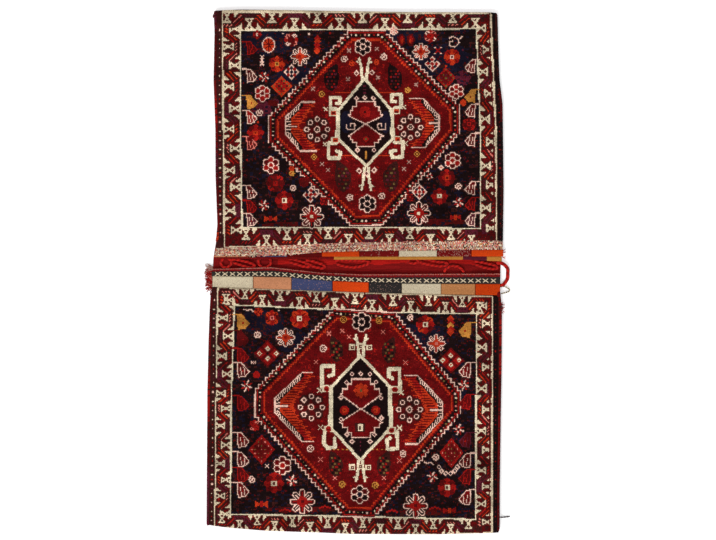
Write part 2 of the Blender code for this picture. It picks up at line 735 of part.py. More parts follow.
def binding(pouch, end, side, section):
    """Overcast wool wrapped round the joined edges of back and front."""
    count = 2 * round(abs(pouch.end_y - pouch.mouth_y) / BINDING_WRAP_PITCH)
    share_of_line = [(line[0] - pouch.mouth_y) / (pouch.end_y - pouch.mouth_y) for line in LIE]
    places = {k / count for k in range(count + 1)} | {share for share in share_of_line if 0.01 < share < 0.99}
    curve = bpy.data.curves.new("binding", "CURVE")
    curve.dimensions = "3D"
    curve.bevel_mode = "OBJECT"
    curve.bevel_object = section
    curve.use_fill_caps = True
    spline = curve.splines.new("POLY")
    spline.points.add(len(places) - 1)
    x = side * (pouch.half - BINDING_WIDTH / 2)
    for point, share in zip(spline.points, sorted(places)):
        y = pouch.mouth_y + (pouch.end_y - pouch.mouth_y) * share
        swell = abs((share * count) % 2 - 1)
        point.co = (x, y, BINDING_HEIGHT / 2, 1)
        point.radius = 1 - (1 - BINDING_WAIST) * swell
    wrap = bpy.data.objects.new("binding", curve)
    BAG.objects.link(wrap)
    meshed(wrap, f"binding_{end}_{pouch.name}", BAG, "bright_red")


# Closure strips
UPPER_BLOCKS = (
    ("salmon", 0.094), ("blue", 0.126), ("orange", 0.080), ("dark_red", 0.080),
    ("ivory", 0.080), ("dark_red", 0.071), ("orange", 0.072),
)
LOWER_BLOCKS = (
    ("ivory", 0.084), ("salmon", 0.080), ("blue", 0.086), ("orange", 0.077),
    ("charcoal", 0.070), ("ivory", 0.083), ("tan", 0.071), ("orange", 0.063),
)


def block_band(pouch, blocks, near, far):
    """Blocks of colour side by side, with a woven slit between each two."""
    low, high = pouch.span(-near, -far)
    whole = sum(width for _, width in blocks)
    left = -pouch.cloth_half
    for k, (colour, width) in enumerate(blocks):
        right = left + 2 * pouch.cloth_half * width / whole
        outline = box(left + SLIT_WIDTH / 2, low, right - SLIT_WIDTH / 2, high)
        slab(f"block_{k + 1}_{colour}_{pouch.name}", [outline], STRIP_LOW, STRIP_TOP, colour)
        left = right


def strip(name, pouch, near, far, colour):
    low, high = pouch.span(-near, -far)
    outline = box(-pouch.cloth_half, low, pouch.cloth_half, high)
    return slab(name, [outline], STRIP_LOW, STRIP_TOP, colour)


def stitches(pouch, near, far):
    """A row of crossed stitches that stand up from the dark band."""
    low, high = pouch.span(-near, -far)
    count = round(2 * pouch.cloth_half / STITCH_PITCH)
    crosses = []
    for k in range(count):
        x = pouch.cloth_half * (2 * (k + 0.5) / count - 1)
        crosses.append(moved(diamond(STITCH_SIZE / 2, STITCH_SIZE / 2), x, (low + high) / 2))
    return motif_cutter("stitches", crosses, STRIP_TOP - STITCH_RELIEF, STRIP_TOP + STITCH_RELIEF)


def closure_strips():
    gap = SEAM_GAP
    near = gap
    far = near + MOTTLED_BAND
    strip("mottled_band", UPPER, near, far, "mauve")
    near, far = far + gap, far + gap + UPPER_BLOCK_BAND
    block_band(UPPER, UPPER_BLOCKS, near, far)
    strip("gold_hem", UPPER, far + gap, far + gap + GOLD_HEM, "gold")
    near, far = gap, gap + LOWER_BLOCK_BAND
    block_band(LOWER, LOWER_BLOCKS, near, far)
    near, far = far + gap, far + gap + STITCH_BAND
    band = strip("stitched_band", LOWER, near, far, "charcoal")
    combined(band, stitches(LOWER, near, far), "UNION")
    strip("lower_hem", LOWER, far + gap, far + gap + LOWER_HEM, "pink")


# Closure loops: cord rings that lie on the bridge, as name, the centre's share of the bridge's half
# width, the centre's y, length, width and turn
LOOPS = (
    ("loop_1", -0.915, 0.020, 0.022, 0.019, 0),
    ("loop_2", -0.796, 0.018, 0.048, 0.010, -15),
    ("loop_3", -0.650, 0.021, 0.028, 0.023, 0),
    ("loop_4", -0.413, 0.0205, 0.043, 0.010, -17),
    ("loop_5", -0.290, 0.0160, 0.040, 0.010, -16),
    ("loop_6", -0.046, 0.018, 0.074, 0.014, 0),
    ("loop_7", 0.385, 0.022, 0.023, 0.011, 0),
    ("loop_8", 0.524, 0.019, 0.060, 0.010, -10),
    ("loop_9", 0.670, 0.007, 0.042, 0.013, 0),
    ("loop_10", 0.892, 0.014, 0.050, 0.011, -10),
)
LOOP_SIDES = 8


def cord_ring(name, centre, length, width, turn, thick, colour):
    """A closed ring of cord that lies on the bridge."""
    curve = bpy.data.curves.new(name, "CURVE")
    curve.dimensions = "3D"
    curve.bevel_depth = thick / 2
    curve.bevel_resolution = 1
    curve.twist_mode = "Z_UP"
    spline = curve.splines.new("POLY")
    spline.points.add(LOOP_SIDES - 1)
    spline.use_cyclic_u = True
    ring = []
    for k in range(LOOP_SIDES):
        angle = 2 * math.pi * (k + 0.5) / LOOP_SIDES
        ring.append(((length - thick) / 2 * math.cos(angle), (width - thick) / 2 * math.sin(angle)))
    for point, (x, y) in zip(spline.points, turned(ring, turn)):
        point.co = (centre[0] + x, centre[1] + y, BACK_THICK + SEAM_GAP + thick / 2, 1)
    cord = bpy.data.objects.new(name, curve)
    BAG.objects.link(cord)
    meshed(cord, name, BAG, colour, is_laid=False)


def cord_run(name, points, thick, colour):
    """An open length of cord with closed ends."""
    curve = bpy.data.curves.new(name, "CURVE")
    curve.dimensions = "3D"
    curve.bevel_depth = thick / 2
    curve.bevel_resolution = 2
    curve.use_fill_caps = True
    spline = curve.splines.new("POLY")
    spline.points.add(len(points) - 1)
    for point, (x, y, z) in zip(spline.points, points):
        point.co = (x, y, z, 1)
    cord = bpy.data.objects.new(name, curve)
    BAG.objects.link(cord)
    meshed(cord, name, BAG, colour, is_laid=False)


def wad(name, centre, sizes, colour):
    """A loose wad of wool, lying on what the bag lies on."""
    shape = bmesh.new()
    bmesh.ops.create_uvsphere(shape, u_segments=8, v_segments=6, radius=0.5)
    mesh = bpy.data.meshes.new(name)
    shape.to_mesh(mesh)
    shape.free()
    for vertex in mesh.vertices:
        vertex.co = Vector(centre) + vertex.co * Vector(sizes)
    mesh.materials.append(yarn(colour))
    BAG.objects.link(bpy.data.objects.new(name, mesh))


# What hangs out at the sides of the bridge and at the lower right corner, as places out from the upper
# pouch's right edge
SIDE_LOOP = (
    (-0.0175, 0.0190, 0.0068), (-0.0055, 0.0200, 0.0068), (0.0045, 0.0155, 0.0055), (0.0110, 0.0060, 0.0042),
    (0.0125, -0.0050, 0.0040), (0.0110, -0.0160, 0.0040), (0.0040, -0.0296, 0.0040),
)
SIDE_LOOP_END = ((0.0030, -0.0352, 0.0042), (0.0075, -0.0357, 0.0042), (0.0140, -0.0352, 0.0042))
CORD_STUB = (
    (-0.0036, -0.5155, 0.0060), (0.0035, -0.5162, 0.0034),
    (0.0115, -0.5157, 0.0018), (0.0190, -0.5150, 0.0018),
)
STUB_CORD = 0.003
TUFT_LEFT_OUT = 0.0069
TUFT_RIGHT_OUT = 0.0041


def loose_ends():
    edge = UPPER.half
    for name, run, thick, colour in (
            ("side_loop", SIDE_LOOP, SIDE_LOOP_CORD, "bright_red"),
            ("side_loop_end", SIDE_LOOP_END, LOOP_END_CORD, "ivory"),
            ("cord_stub", CORD_STUB, STUB_CORD, "brown")):
        cord_run(name, [(edge + out, y, z) for out, y, z in run], thick, colour)
    wad("wool_tuft_left", (-edge - TUFT_LEFT_OUT, -0.0030, 0.0042), (0.0220, 0.050, 0.008), "tan")
    wad("wool_tuft_right", (edge + TUFT_RIGHT_OUT, -0.0755, 0.0045), (0.008, 0.020, 0.008), "bright_red")


def main():
    kilim_back()
    pouch_front(UPPER, UPPER_FIELD)
    pouch_front(LOWER, LOWER_FIELD)
    section = binding_section()
    for pouch in (UPPER, LOWER):
        binding(pouch, "left", -1, section)
        binding(pouch, "right", 1, section)
    closure_strips()
    for name, share, y, length, width, turn in LOOPS:
        cord_ring(name, (share * UPPER.half, y), length, width, turn, LOOP_CORD, "bright_red")
    loose_ends()


main()
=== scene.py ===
"""The looks of a tribal double saddle bag: knotted pile fronts, flat-woven back, wool bindings and loops.

Places across the bag are columns and rows of the weaver's chart, one knot of pile each. Column 0 is at
the left of the view, row 0 at its top, and the chart's middle lies over the frame's origin.
"""

import math

import bpy
import numpy
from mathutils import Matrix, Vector


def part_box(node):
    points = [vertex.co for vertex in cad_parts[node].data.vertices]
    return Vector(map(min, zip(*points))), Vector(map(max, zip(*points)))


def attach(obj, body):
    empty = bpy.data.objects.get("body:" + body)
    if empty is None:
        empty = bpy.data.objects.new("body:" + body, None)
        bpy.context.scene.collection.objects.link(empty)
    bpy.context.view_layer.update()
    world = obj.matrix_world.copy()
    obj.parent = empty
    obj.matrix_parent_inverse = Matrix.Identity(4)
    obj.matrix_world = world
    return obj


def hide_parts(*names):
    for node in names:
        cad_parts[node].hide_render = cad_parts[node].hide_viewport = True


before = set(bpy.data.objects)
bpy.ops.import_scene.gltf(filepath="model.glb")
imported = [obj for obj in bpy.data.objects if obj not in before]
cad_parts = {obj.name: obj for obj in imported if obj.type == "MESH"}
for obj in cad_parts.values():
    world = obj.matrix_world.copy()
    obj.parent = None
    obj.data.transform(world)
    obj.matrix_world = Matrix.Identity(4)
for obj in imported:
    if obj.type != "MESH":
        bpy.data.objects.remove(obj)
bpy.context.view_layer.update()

bl_info = {
    "name": "Kilim saddle bag",
    "version": (1, 0, 0),
    "blender": (4, 5, 0),
    "location": "View3D > Sidebar > Saddle bag",
    "description": "Dresses the packed saddle bag in pile, weave, bindings and braids",
    "category": "Object",
}

MIDDLE_COLUMN = 357.75
MIDDLE_ROW = 272.0
WHITE = (1, 1, 1, 1)


# Sizes and colours
def size(name, description, default, **more):
    """A length in metres that a user may change."""
    settings = {"precision": 4, "unit": "LENGTH", "subtype": "DISTANCE", **more}
    return bpy.props.FloatProperty(name=name, description=description, default=default, **settings)


class BagSizes(bpy.types.PropertyGroup):
    """Sizes of the bag's soft work."""
    knot: size("Knot", "Width and height of one knot, one step of the chart", 0.0021, min=0.001, max=0.01)
    pile_top: size("Pile top", "Height of the pile's tips over the floor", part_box("medallion_upper")[1].z)
    front_low: size("Front's underside", "Height of a front's underside over the floor",
                    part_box("pouch_front_upper")[0].z)
    strip_top: size("Strip top", "Height of the closure strips' upper side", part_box("mottled_band")[1].z)
    cloth: size("Back cloth", "Thickness of the flat-woven back", 0.003)
    tuft: size("Tuft play", "How far single knots stand up or lie low", 0.00028, precision=5)
    swell: size("Swell", "How far the resting cloth swells and sinks", 0.0007, precision=5)
    binding: size("Binding", "Width of the overcast binding", 0.0085)
    loop_cord: size("Loop cord", "Thickness of the braided loops' cord", 0.0056)
    side_cord: size("Side cord", "Thickness of the large side loop's cord", 0.0076)


def dye(name, red, green, blue):
    """A yarn colour that a user may change, as it is seen."""
    return bpy.props.FloatVectorProperty(
        name=name, description=f"Colour of the {name.lower()} yarn", subtype="COLOR_GAMMA", size=3,
        default=(red, green, blue), min=0, max=1)


class BagColours(bpy.types.PropertyGroup):
    """Colours of the yarns."""
    black: dye("Black", 0.092, 0.042, 0.045)
    navy: dye("Navy", 0.085, 0.070, 0.130)
    brown: dye("Brown", 0.215, 0.082, 0.072)
    plum: dye("Plum", 0.330, 0.095, 0.150)
    deep: dye("Deep red", 0.315, 0.042, 0.045)
    madder: dye("Madder", 0.378, 0.034, 0.042)
    red: dye("Red", 0.560, 0.075, 0.062)
    orange: dye("Orange", 0.690, 0.185, 0.080)
    pink: dye("Pink", 0.780, 0.420, 0.370)
    pale: dye("Pale rose", 0.850, 0.690, 0.620)
    ivory: dye("Ivory", 0.825, 0.750, 0.630)
    gold: dye("Gold", 0.710, 0.470, 0.200)
    olive: dye("Olive", 0.410, 0.320, 0.170)
    mauve: dye("Mauve", 0.660, 0.500, 0.450)
    crimson: dye("Crimson", 0.400, 0.055, 0.055)
    scarlet: dye("Scarlet", 0.720, 0.115, 0.090)
    vermilion: dye("Vermilion", 0.850, 0.270, 0.065)
    salmon: dye("Salmon", 0.800, 0.540, 0.390)
    blue: dye("Blue", 0.262, 0.285, 0.430)
    charcoal: dye("Charcoal", 0.185, 0.170, 0.165)
    tan: dye("Tan", 0.710, 0.475, 0.290)
    cream: dye("Cream", 0.860, 0.800, 0.680)


YARNS = tuple(BagColours.__annotations__)


def colour_table():
    """The yarns' colours in scene linear values, by the sRGB curve, in the order of YARNS."""
    dyes = bpy.context.scene.bag_colours
    seen = numpy.array([tuple(getattr(dyes, yarn)) for yarn in YARNS])
    return numpy.where(seen <= 0.04045, seen / 12.92, ((seen + 0.055) / 1.055) ** 2.4)


def spot(column, row):
    """Places in the frame, in metres, of places on the chart."""
    knot = bpy.context.scene.bag_sizes.knot
    return (column - MIDDLE_COLUMN) * knot, (MIDDLE_ROW - row) * knot


def edge(*points):
    """A line across the chart, through a few points of (place, value), as a function of the place."""
    places, values = zip(*points)
    return lambda place: numpy.interp(place, places, values)


# Outlines of the cloth, in columns for each row or rows for each column
BAG_LEFT = edge((12, 213.4), (32, 214.2), (80, 213.2), (128, 215), (176, 215.2), (224, 217), (236, 216),
                (248, 214), (258, 212.4), (292, 210.4), (308, 209.4), (340, 208.2), (392, 207), (524, 206.2))
BAG_RIGHT = edge((12, 497.8), (56, 499), (80, 500), (104, 503), (188, 504), (236, 503.4), (248, 503.6),
                 (262, 501.6), (296, 501), (308, 502.4), (368, 502), (428, 501), (488, 500.2), (532, 500))
BAG_TOP = edge((210, 11.4), (216, 10.2), (241, 9.2), (289, 9.8), (349, 10.8), (409, 11.8), (493, 12),
               (500, 13.4))
BAG_BOTTOM = edge((204, 524), (210, 525.6), (229, 528), (265, 531), (325, 533), (349, 534.2), (433, 534.6),
                  (493, 533.2), (500, 531.5))


# The weaver's chart
def along(start, end, share):
    """The place at a share of the way between two places."""
    return (start[0] + (end[0] - start[0]) * share, start[1] + (end[1] - start[1]) * share)


def spaced(start, end, gap):
    """Places along a line, about a gap apart, from half a gap in."""
    count = max(1, round(math.dist(start, end) / gap))
    return [along(start, end, (number + 0.5) / count) for number in range(count)]


def polar(x, y, radius, turn):
    """The place at a radius and a turn, in parts of a full turn, from a centre."""
    angle = 2 * math.pi * turn
    return (x + radius * math.sin(angle), y - radius * math.cos(angle))


def stairs(start, end, step):
    """A slanted line as a flight of steps, without its last point."""
    count = max(1, round(math.dist(start, end) / step))
    points = []
    for number in range(count):
        here = along(start, end, number / count)
        there = along(start, end, (number + 1) / count)
        points += [here, (there[0], here[1])]
    return points


def following(points):
    """Each point of a closed outline with the next one."""
    return list(zip(points, points[1:] + points[:1]))


def inside_of(outline, x, y):
    """Which places lie inside a closed outline."""
    inside = numpy.zeros(x.shape, dtype=bool)
    for (ax, ay), (bx, by) in following(list(outline)):
        if ay != by:
            inside ^= ((ay > y) != (by > y)) & (x < ax + (bx - ax) * (y - ay) / (by - ay))
    return inside


class Chart:
    """The knots of one pile front, a yarn for each. A place is a column and a row of the weaver's chart."""

    def __init__(self, left, top, right, bottom, yarn):
        self.left = left
        self.top = top
        self.knots = numpy.full((bottom - top, right - left), YARNS.index(yarn), dtype=numpy.int8)
        self.columns = numpy.arange(left, right) + 0.5
        self.rows = numpy.arange(top, bottom) + 0.5

    def window(self, points, reach):
        """The stretch of the chart round some points, and the places of its knots."""
        low = numpy.min(points, axis=0) - reach
        high = numpy.max(points, axis=0) + reach
        rows = slice(*numpy.searchsorted(self.rows, (low[1], high[1])))
        columns = slice(*numpy.searchsorted(self.columns, (low[0], high[0])))
        x, y = numpy.meshgrid(self.columns[columns], self.rows[rows])
        return self.knots[rows, columns], x, y

    def fill(self, outline, yarn):
        """Fills a closed outline."""
        knots, x, y = self.window(outline, 1.0)
        knots[inside_of(outline, x, y)] = YARNS.index(yarn)

    def line(self, points, yarn, width=1.0):
        """Knots a line of some width along some points."""
        for start, end in zip(points, points[1:]):
            knots, x, y = self.window([start, end], width)
            run = (end[0] - start[0], end[1] - start[1])
            squared = max(run[0] ** 2 + run[1] ** 2, 1e-6)
            share = numpy.clip(((x - start[0]) * run[0] + (y - start[1]) * run[1]) / squared, 0, 1)
            away = numpy.hypot(x - start[0] - share * run[0], y - start[1] - share * run[1])
            knots[away <= width / 2] = YARNS.index(yarn)

    def ring(self, outline, yarn, width=1.0):
        """Knots a line round a closed outline."""
        self.line(outline + outline[:1], yarn, width)

    def disc(self, x, y, radius, yarn, stretch=1.0):
        """Fills a round spot, stretched along the rows' direction or not."""
        knots, across, down = self.window([(x, y)], radius * max(1.0, stretch) + 1)
        knots[numpy.hypot(across - x, (down - y) / stretch) <= radius] = YARNS.index(yarn)

    def diamond(self, x, y, radius, yarn):
        """Fills a square that stands on its corner."""
        knots, across, down = self.window([(x, y)], radius + 1)
        knots[abs(across - x) + abs(down - y) <= radius] = YARNS.index(yarn)

    def box(self, x, y, width, height, yarn):
        """Fills a box round a centre."""
        corners = ((-1, -1), (1, -1), (1, 1), (-1, 1))
        self.fill([(x + a * width / 2, y + b * height / 2) for a, b in corners], yarn)

    def nest(self, x, y, *layers):
        """Fills boxes round one centre, each on the last. A layer is its width, its height and its yarn."""
        for layer in layers:
            self.box(x, y, *layer)


def speckle(chart, yarn, flecks, seed):
    """Small worn patches of other yarns in the ground of one. A fleck is its yarn and its share."""
    chance = numpy.random.default_rng(seed)
    rows, columns = chart.knots.shape
    patches = chance.random((rows // 2 + 1, columns // 3 + 1)).repeat(2, axis=0).repeat(3, axis=1)
    patches = patches[:rows, :columns] + 0.1 * chance.random((rows, columns))
    ground = chart.knots == YARNS.index(yarn)
    first_patch = 0.1
    low = first_patch
    for fleck, share in flecks:
        chart.knots[ground & (patches >= low) & (patches < low + share)] = YARNS.index(fleck)
        low += share


def rosette(chart, x, y, radius, cells, core, count=8):
    """A round flower of outlined petals. With six petals its eye is one of their kind."""
    petal_share, inner_share = (0.40, 0.60) if count == 6 else (0.24, 0.48)
    petal = radius * petal_share
    petals = [(polar(x, y, radius * inner_share, number / count), polar(x, y, radius - petal, number / count))
              for number in range(count)]
    for ends in petals:
        chart.line(ends, "pale", 2 * petal)
    for number, ends in enumerate(petals):
        chart.line(ends, cells[number % len(cells)], 2 * petal - 2.1)
    if count == 6:
        chart.disc(x, y, radius * 0.36, "pale")
        chart.disc(x, y, radius * 0.36 - 1.05, core[0])
        return
    chart.disc(x, y, radius * 0.44, core[0])
    for number in range(count):
        start, end = (polar(x, y, radius * share, number / count) for share in (0.40, 0.72))
        chart.line([start, end], "pale" if number % 2 else core[0])
    chart.box(x, y, 3.0, 3.0, core[-1])


def daisy(chart, x, y, radius, petals, spokes):
    """An oval flower with a pale edge and thin spokes."""
    stretch = 1.2
    chart.disc(x, y, radius, "pale", stretch)
    chart.disc(x, y, radius - 1.0, petals, stretch)
    for turn in range(8):
        column, row = polar(0, 0, radius - 1.4, turn / 8)
        chart.line([(x, y), (x + column, y + row * stretch)], spokes, 0.9)


def blossom(chart, x, y, radius, petals, core, gap="deep"):
    """A plain flower of eight soft petals with a square eye."""
    for number in range(8):
        column, row = polar(x, y, radius * 0.64, number / 8)
        chart.disc(column, row, radius * 0.36, petals[number % len(petals)])
    chart.disc(x, y, radius * 0.52, petals[0])
    for number in range(4):
        turn = number / 4 + 0.125
        chart.line([polar(x, y, radius * 0.45, turn), polar(x, y, radius * 0.8, turn)], gap)
    chart.nest(x, y, (radius * 0.52, radius * 0.52, core), (radius * 0.2, radius * 0.24, gap))


def lattice(chart, x, y, radius, cells):
    """An outlined diamond of small diamonds."""
    chart.diamond(x, y, radius, "pale")
    for turn in range(8):
        reach = radius * (0.52 if turn % 2 == 0 else 0.50)
        column, row = polar(x, y, reach, turn / 8)
        chart.diamond(column, row, radius * 0.24, cells[turn % len(cells)])
    chart.diamond(x, y, radius * 0.26, cells[0])


def checked_diamond(chart, x, y, radius, ground, dots, tall=1.0):
    """A diamond with rows of small spots."""
    for reach, yarn in ((radius, ground), (radius - 3.4, "crimson" if ground == "red" else "red")):
        chart.fill([(x - reach, y), (x, y - reach * tall), (x + reach, y), (x, y + reach * tall)], yarn)
    pitch = radius / 4
    for across in range(-3, 4):
        for down in range(-3, 4):
            if abs(across) + abs(down) <= 3:
                dot = dots[(across + 2 * down) % len(dots)]
                chart.box(x + across * pitch, y + down * pitch * tall, 1.5, 1.5, dot)


def four_eyes(chart, x, y, radius):
    """A notched diamond with an outlined eye in each corner."""
    chart.diamond(x, y, radius, "madder")
    for turn in range(4):
        column, row = polar(x, y, radius * 0.5, turn / 4)
        chart.diamond(column, row, radius * 0.36, "red")
    for turn in range(4):
        column, row = polar(x, y, radius * (0.62 if turn % 2 else 0.36), turn / 4)
        chart.diamond(column, row, 2.6, "ivory")
        chart.diamond(column, row, 1.1, "orange")
    chart.diamond(x, y, 1.6, "black")


def pinwheel(chart, x, y, radius):
    """A small flower of leaning petals."""
    petals = ("pale", "red")
    for number in range(8):
        inner = polar(x, y, 1.4, number / 8)
        outer = polar(x, y, radius * 0.8, number / 8 + 0.05)
        chart.line([inner, outer], petals[number % len(petals)], 1.5)
    chart.disc(x, y, 1.2, "black")


def cross_mark(chart, x, y, radius, yarn):
    """A small slanted cross."""
    chart.line([(x - radius, y - radius), (x + radius, y + radius)], yarn)
    chart.line([(x - radius, y + radius), (x + radius, y - radius)], yarn)


def ring_mark(chart, x, y, radius, yarn="pale", ground="deep"):
    """A small ring with a cross in it."""
    chart.disc(x, y, radius, yarn)
    chart.disc(x, y, radius - 1.1, ground)
    cross_mark(chart, x, y, 1.3, yarn)


def bow_tie(chart, x, y, half, tall, wings, knot):
    """Two triangles that meet at a knot."""
    for sign in (-1, 1):
        chart.fill([(x, y), (x + sign * half, y - tall), (x + sign * half, y + tall)], wings)
    chart.box(x, y, 3, 6 if tall > 3 else 5, knot)


def pennant(chart, x, y, side, edge_yarn, ground, width, height=13.0):
    """A flag that hangs into the field from the border. Side is 1 from the left and -1 from the right."""
    def at(a, b):
        return x + side * a * width, y + b * height

    outline = [at(0.32, -0.5), at(0.55, -0.48), at(1.0, 0.12), at(0.78, 0.42), at(0.36, 0.5)]
    chart.fill(outline, ground)
    chart.line([(x, y - 0.5 * height)] + outline + outline[:1], edge_yarn, 1.05)
    for shift in (0.0, 0.2):
        chart.line([at(0.50 + shift, -0.16), at(0.56 + shift, 0.34)], edge_yarn, 0.9)
    chart.disc(*at(0.64, 0.08), 0.9, "red")


def speck(chart, x, y, yarn="pale"):
    """Two knots of one yarn."""
    chart.box(x, y, 2.0, 1.2, yarn)


def pennants(chart, x, side, measures, *flags):
    """Flags of the same measures down one side. A flag is its row, its edge's yarn and its ground."""
    for y, edge_yarn, ground in flags:
        pennant(chart, x, y, side, edge_yarn, ground, *measures)


def boteh(chart, x, y, width, height, lean, ground, dots):
    """A leaf with a bent tip, filled with spots."""
    outline = []
    for number in range(18):
        column, row = polar(0, 0, 1, number / 18)
        tip = max(0.0, -row) ** 2
        reach = column * width / 2 * (1 - 0.45 * tip) + lean * tip * width * 0.35
        outline.append((x + reach, y + row * height / 2))
    chart.fill(outline, ground)
    for across in (-1, 0, 1):
        for down in range(-2, 4):
            column = x + across * width * 0.24 + (down % 2 - 0.5) * 1.2
            chart.box(column, y + down * height * 0.12, 2.2, 2.0, dots[(across + down) % len(dots)])


def across_border(place, near):
    """The places of a border, with the shares across it counted from its near line."""
    return lambda s, across: place(s, across if near == 0 else 1 - across)


def border_bay(chart, place, s, near, yarns, room):
    """One bay of the main border: its band along the near line, and an ivory bow tie to the far line.
    Near is the share across the border at which the band lies, and room the knots to each end."""
    at = across_border(place, near)
    band, streak = yarns
    reach = room * 0.62
    chart.fill([at(s - reach, 0.10), at(s + reach, 0.10), at(s + reach, 0.38), at(s - reach, 0.38)], band)
    for along_bay in (-0.34, 0.0, 0.34):
        start, end = room * (along_bay - 0.08), room * (along_bay + 0.08)
        chart.line([at(s + start, 0.20), at(s + end, 0.28)], streak, 1.0)
    half = room * 0.44
    sides = [(half * 0.95, 0.36), (half * 0.8, 0.46), (half * 0.5, 0.54), (1.2, 0.66), (1.2, 0.70),
             (half * 0.55, 0.82), (half * 0.85, 0.90), (half, 1.0)]
    chart.fill([at(s + a, b) for a, b in sides] + [at(s - a, b) for a, b in reversed(sides)], "ivory")
    for across in (0.50, 0.86):
        chart.diamond(*at(s, across), 1.3, "deep")


def border_crossing(chart, place, start, end, near, stripes):
    """The dark slant between two bays, with its stripes and the ivory corner on each side of it."""
    at = across_border(place, near)
    span = end - start
    for corner in (((0.42, 0.0), (-0.30, 0.0), (-0.34, 0.38)), ((0.30, 1.0), (-0.42, 1.0), (0.34, 0.62))):
        places = [((start if share > 0 else end) + span * share, across) for share, across in corner]
        chart.fill([at(*point) for point in places], "ivory")
    first, last = at(start + span * 0.32, 0.30), at(end - span * 0.32, 0.70)
    length = math.dist(first, last)
    normal = ((first[1] - last[1]) / length, (last[0] - first[0]) / length)
    for offset, yarn in zip((-1.7, 0.0, 1.7), stripes):
        shift = (normal[0] * offset, normal[1] * offset)
        chart.line([(point[0] + shift[0], point[1] + shift[1]) for point in (first, last)], yarn, 1.1)


def winding_border(chart, place, bays, stripes, bands):
    """The main border's winding band, with a bow tie in each bay. A bay is its place and its side."""
    for number, ((start, side), (end, _)) in enumerate(zip(bays, bays[1:])):
        border_crossing(chart, place, start, end, 1 if side == "out" else 0, stripes[number % len(stripes)])
    for number, (s, side) in enumerate(bays):
        before = bays[max(0, number - 1)][0]
        after = bays[min(len(bays) - 1, number + 1)][0]
        room = (after - before) / (4 if 0 < number < len(bays) - 1 else 2)
        border_bay(chart, place, s, 1 if side == "out" else 0, bands[number % len(bands)], room)


# The charts of both fronts
class Borders:
    """The lines between which one front's four borders lie, each as its outer and its inner line."""

    def __init__(self, left, right, top, bottom):
        self.left = left
        self.right = right
        self.top = top
        self.bottom = bottom

    def side(self, lines):
        """Places down a side border, from its outer line to its inner line."""
        outer, inner = lines
        return lambda s, t: (outer(s) + (inner(s) - outer(s)) * t, s)

    def end(self, lines):
        """Places along an end border, from its outer line to its inner line."""
        outer, inner = lines
        return lambda s, t: (s, outer(s) + (inner(s) - outer(s)) * t)

    def outline(self, which):
        """The outline inside the outer lines or the inner ones, numbered 0 and 1."""
        top, bottom, left, right = (lines[which] for lines in (self.top, self.bottom, self.left, self.right))

        def parts(start, end, count):
            return [start + (end - start) * share / count for share in range(count + 1)]

        near, far = 230, 480
        outline = [(left(row), row) for row in parts(top(near), bottom(near), 8)]
        foot = bottom(near)
        outline += [(column, bottom(column)) for column in parts(left(foot), right(foot), 6)]
        outline += [(right(row), row) for row in parts(bottom(far), top(far), 8)]
        head = top(far)
        return outline + [(column, top(column)) for column in parts(right(head), left(head), 6)]


def lay_borders(chart, borders, side_bays, end_bays):
    """The dark guards, the main border's dark ground with its winding band, and the field."""
    chart.fill(borders.outline(0), "deep")
    for lines, run, turn in zip((borders.left, borders.right), side_bays, (0, 2)):
        winding_border(chart, borders.side(lines), run, STRIPES[turn:] + STRIPES[:turn], BANDS)
    for lines, run, turn in zip((borders.top, borders.bottom), end_bays, (1, 3)):
        stripes, bands = (yarns[turn:] + yarns[:turn] for yarns in (STRIPES, BANDS))
        winding_border(chart, borders.end(lines), run, stripes, bands)
    speckle(chart, "deep", (("brown", 0.38), ("madder", 0.12)), 8)
    inner = borders.outline(1)
    chart.fill(inner, "black")
    speckle(chart, "black", (("brown", 0.12), ("navy", 0.18), ("deep", 0.05)), 6)
    chart.ring(inner, "cream", 1.3)
    chart.ring(borders.outline(0), "ivory", 1.6)
    last_column = 480
    gap_rows = numpy.linspace(borders.top[0](last_column) + 3, borders.bottom[0](last_column) - 3, 6)
    chart.line([(borders.right[0](row) - 2.3, row) for row in gap_rows], "deep", 1.3)


DARK_SPOTS = ("deep", "plum", "red", "brown")


def guard_spots(chart, middle, top, bottom, ground, spots=("pale", "plum", "ivory", "red")):
    """A dark guard and the spots down it."""
    guard_width, spot_size, spot_gap, past_ends = 5.0, 1.3, 4.6, 20
    rows = (top - past_ends, (top + bottom) / 2, bottom + past_ends)
    chart.line([(middle(row), row) for row in rows], ground, guard_width)
    row = top
    number = 0
    while row < bottom:
        chart.box(middle(row), row, spot_size, spot_size, spots[number % len(spots)])
        row += spot_gap
        number += 1


def moved_in(corners, distance):
    """The corners of an outline moved in by a distance from every side."""
    centre = (sum(c[0] for c in corners) / len(corners), sum(c[1] for c in corners) / len(corners))
    lines = []
    for (ax, ay), (bx, by) in following(corners):
        reach = math.dist((ax, ay), (bx, by))
        normal = ((by - ay) / reach, (ax - bx) / reach)
        if normal[0] * (centre[0] - ax) + normal[1] * (centre[1] - ay) < 0:
            normal = (-normal[0], -normal[1])
        lines.append((normal, normal[0] * ax + normal[1] * ay + distance))
    moved = []
    for (first, a), (second, b) in zip(lines[-1:] + lines[:-1], lines):
        cross = first[0] * second[1] - first[1] * second[0]
        moved.append(((a * second[1] - b * first[1]) / cross, (first[0] * b - second[0] * a) / cross))
    return moved


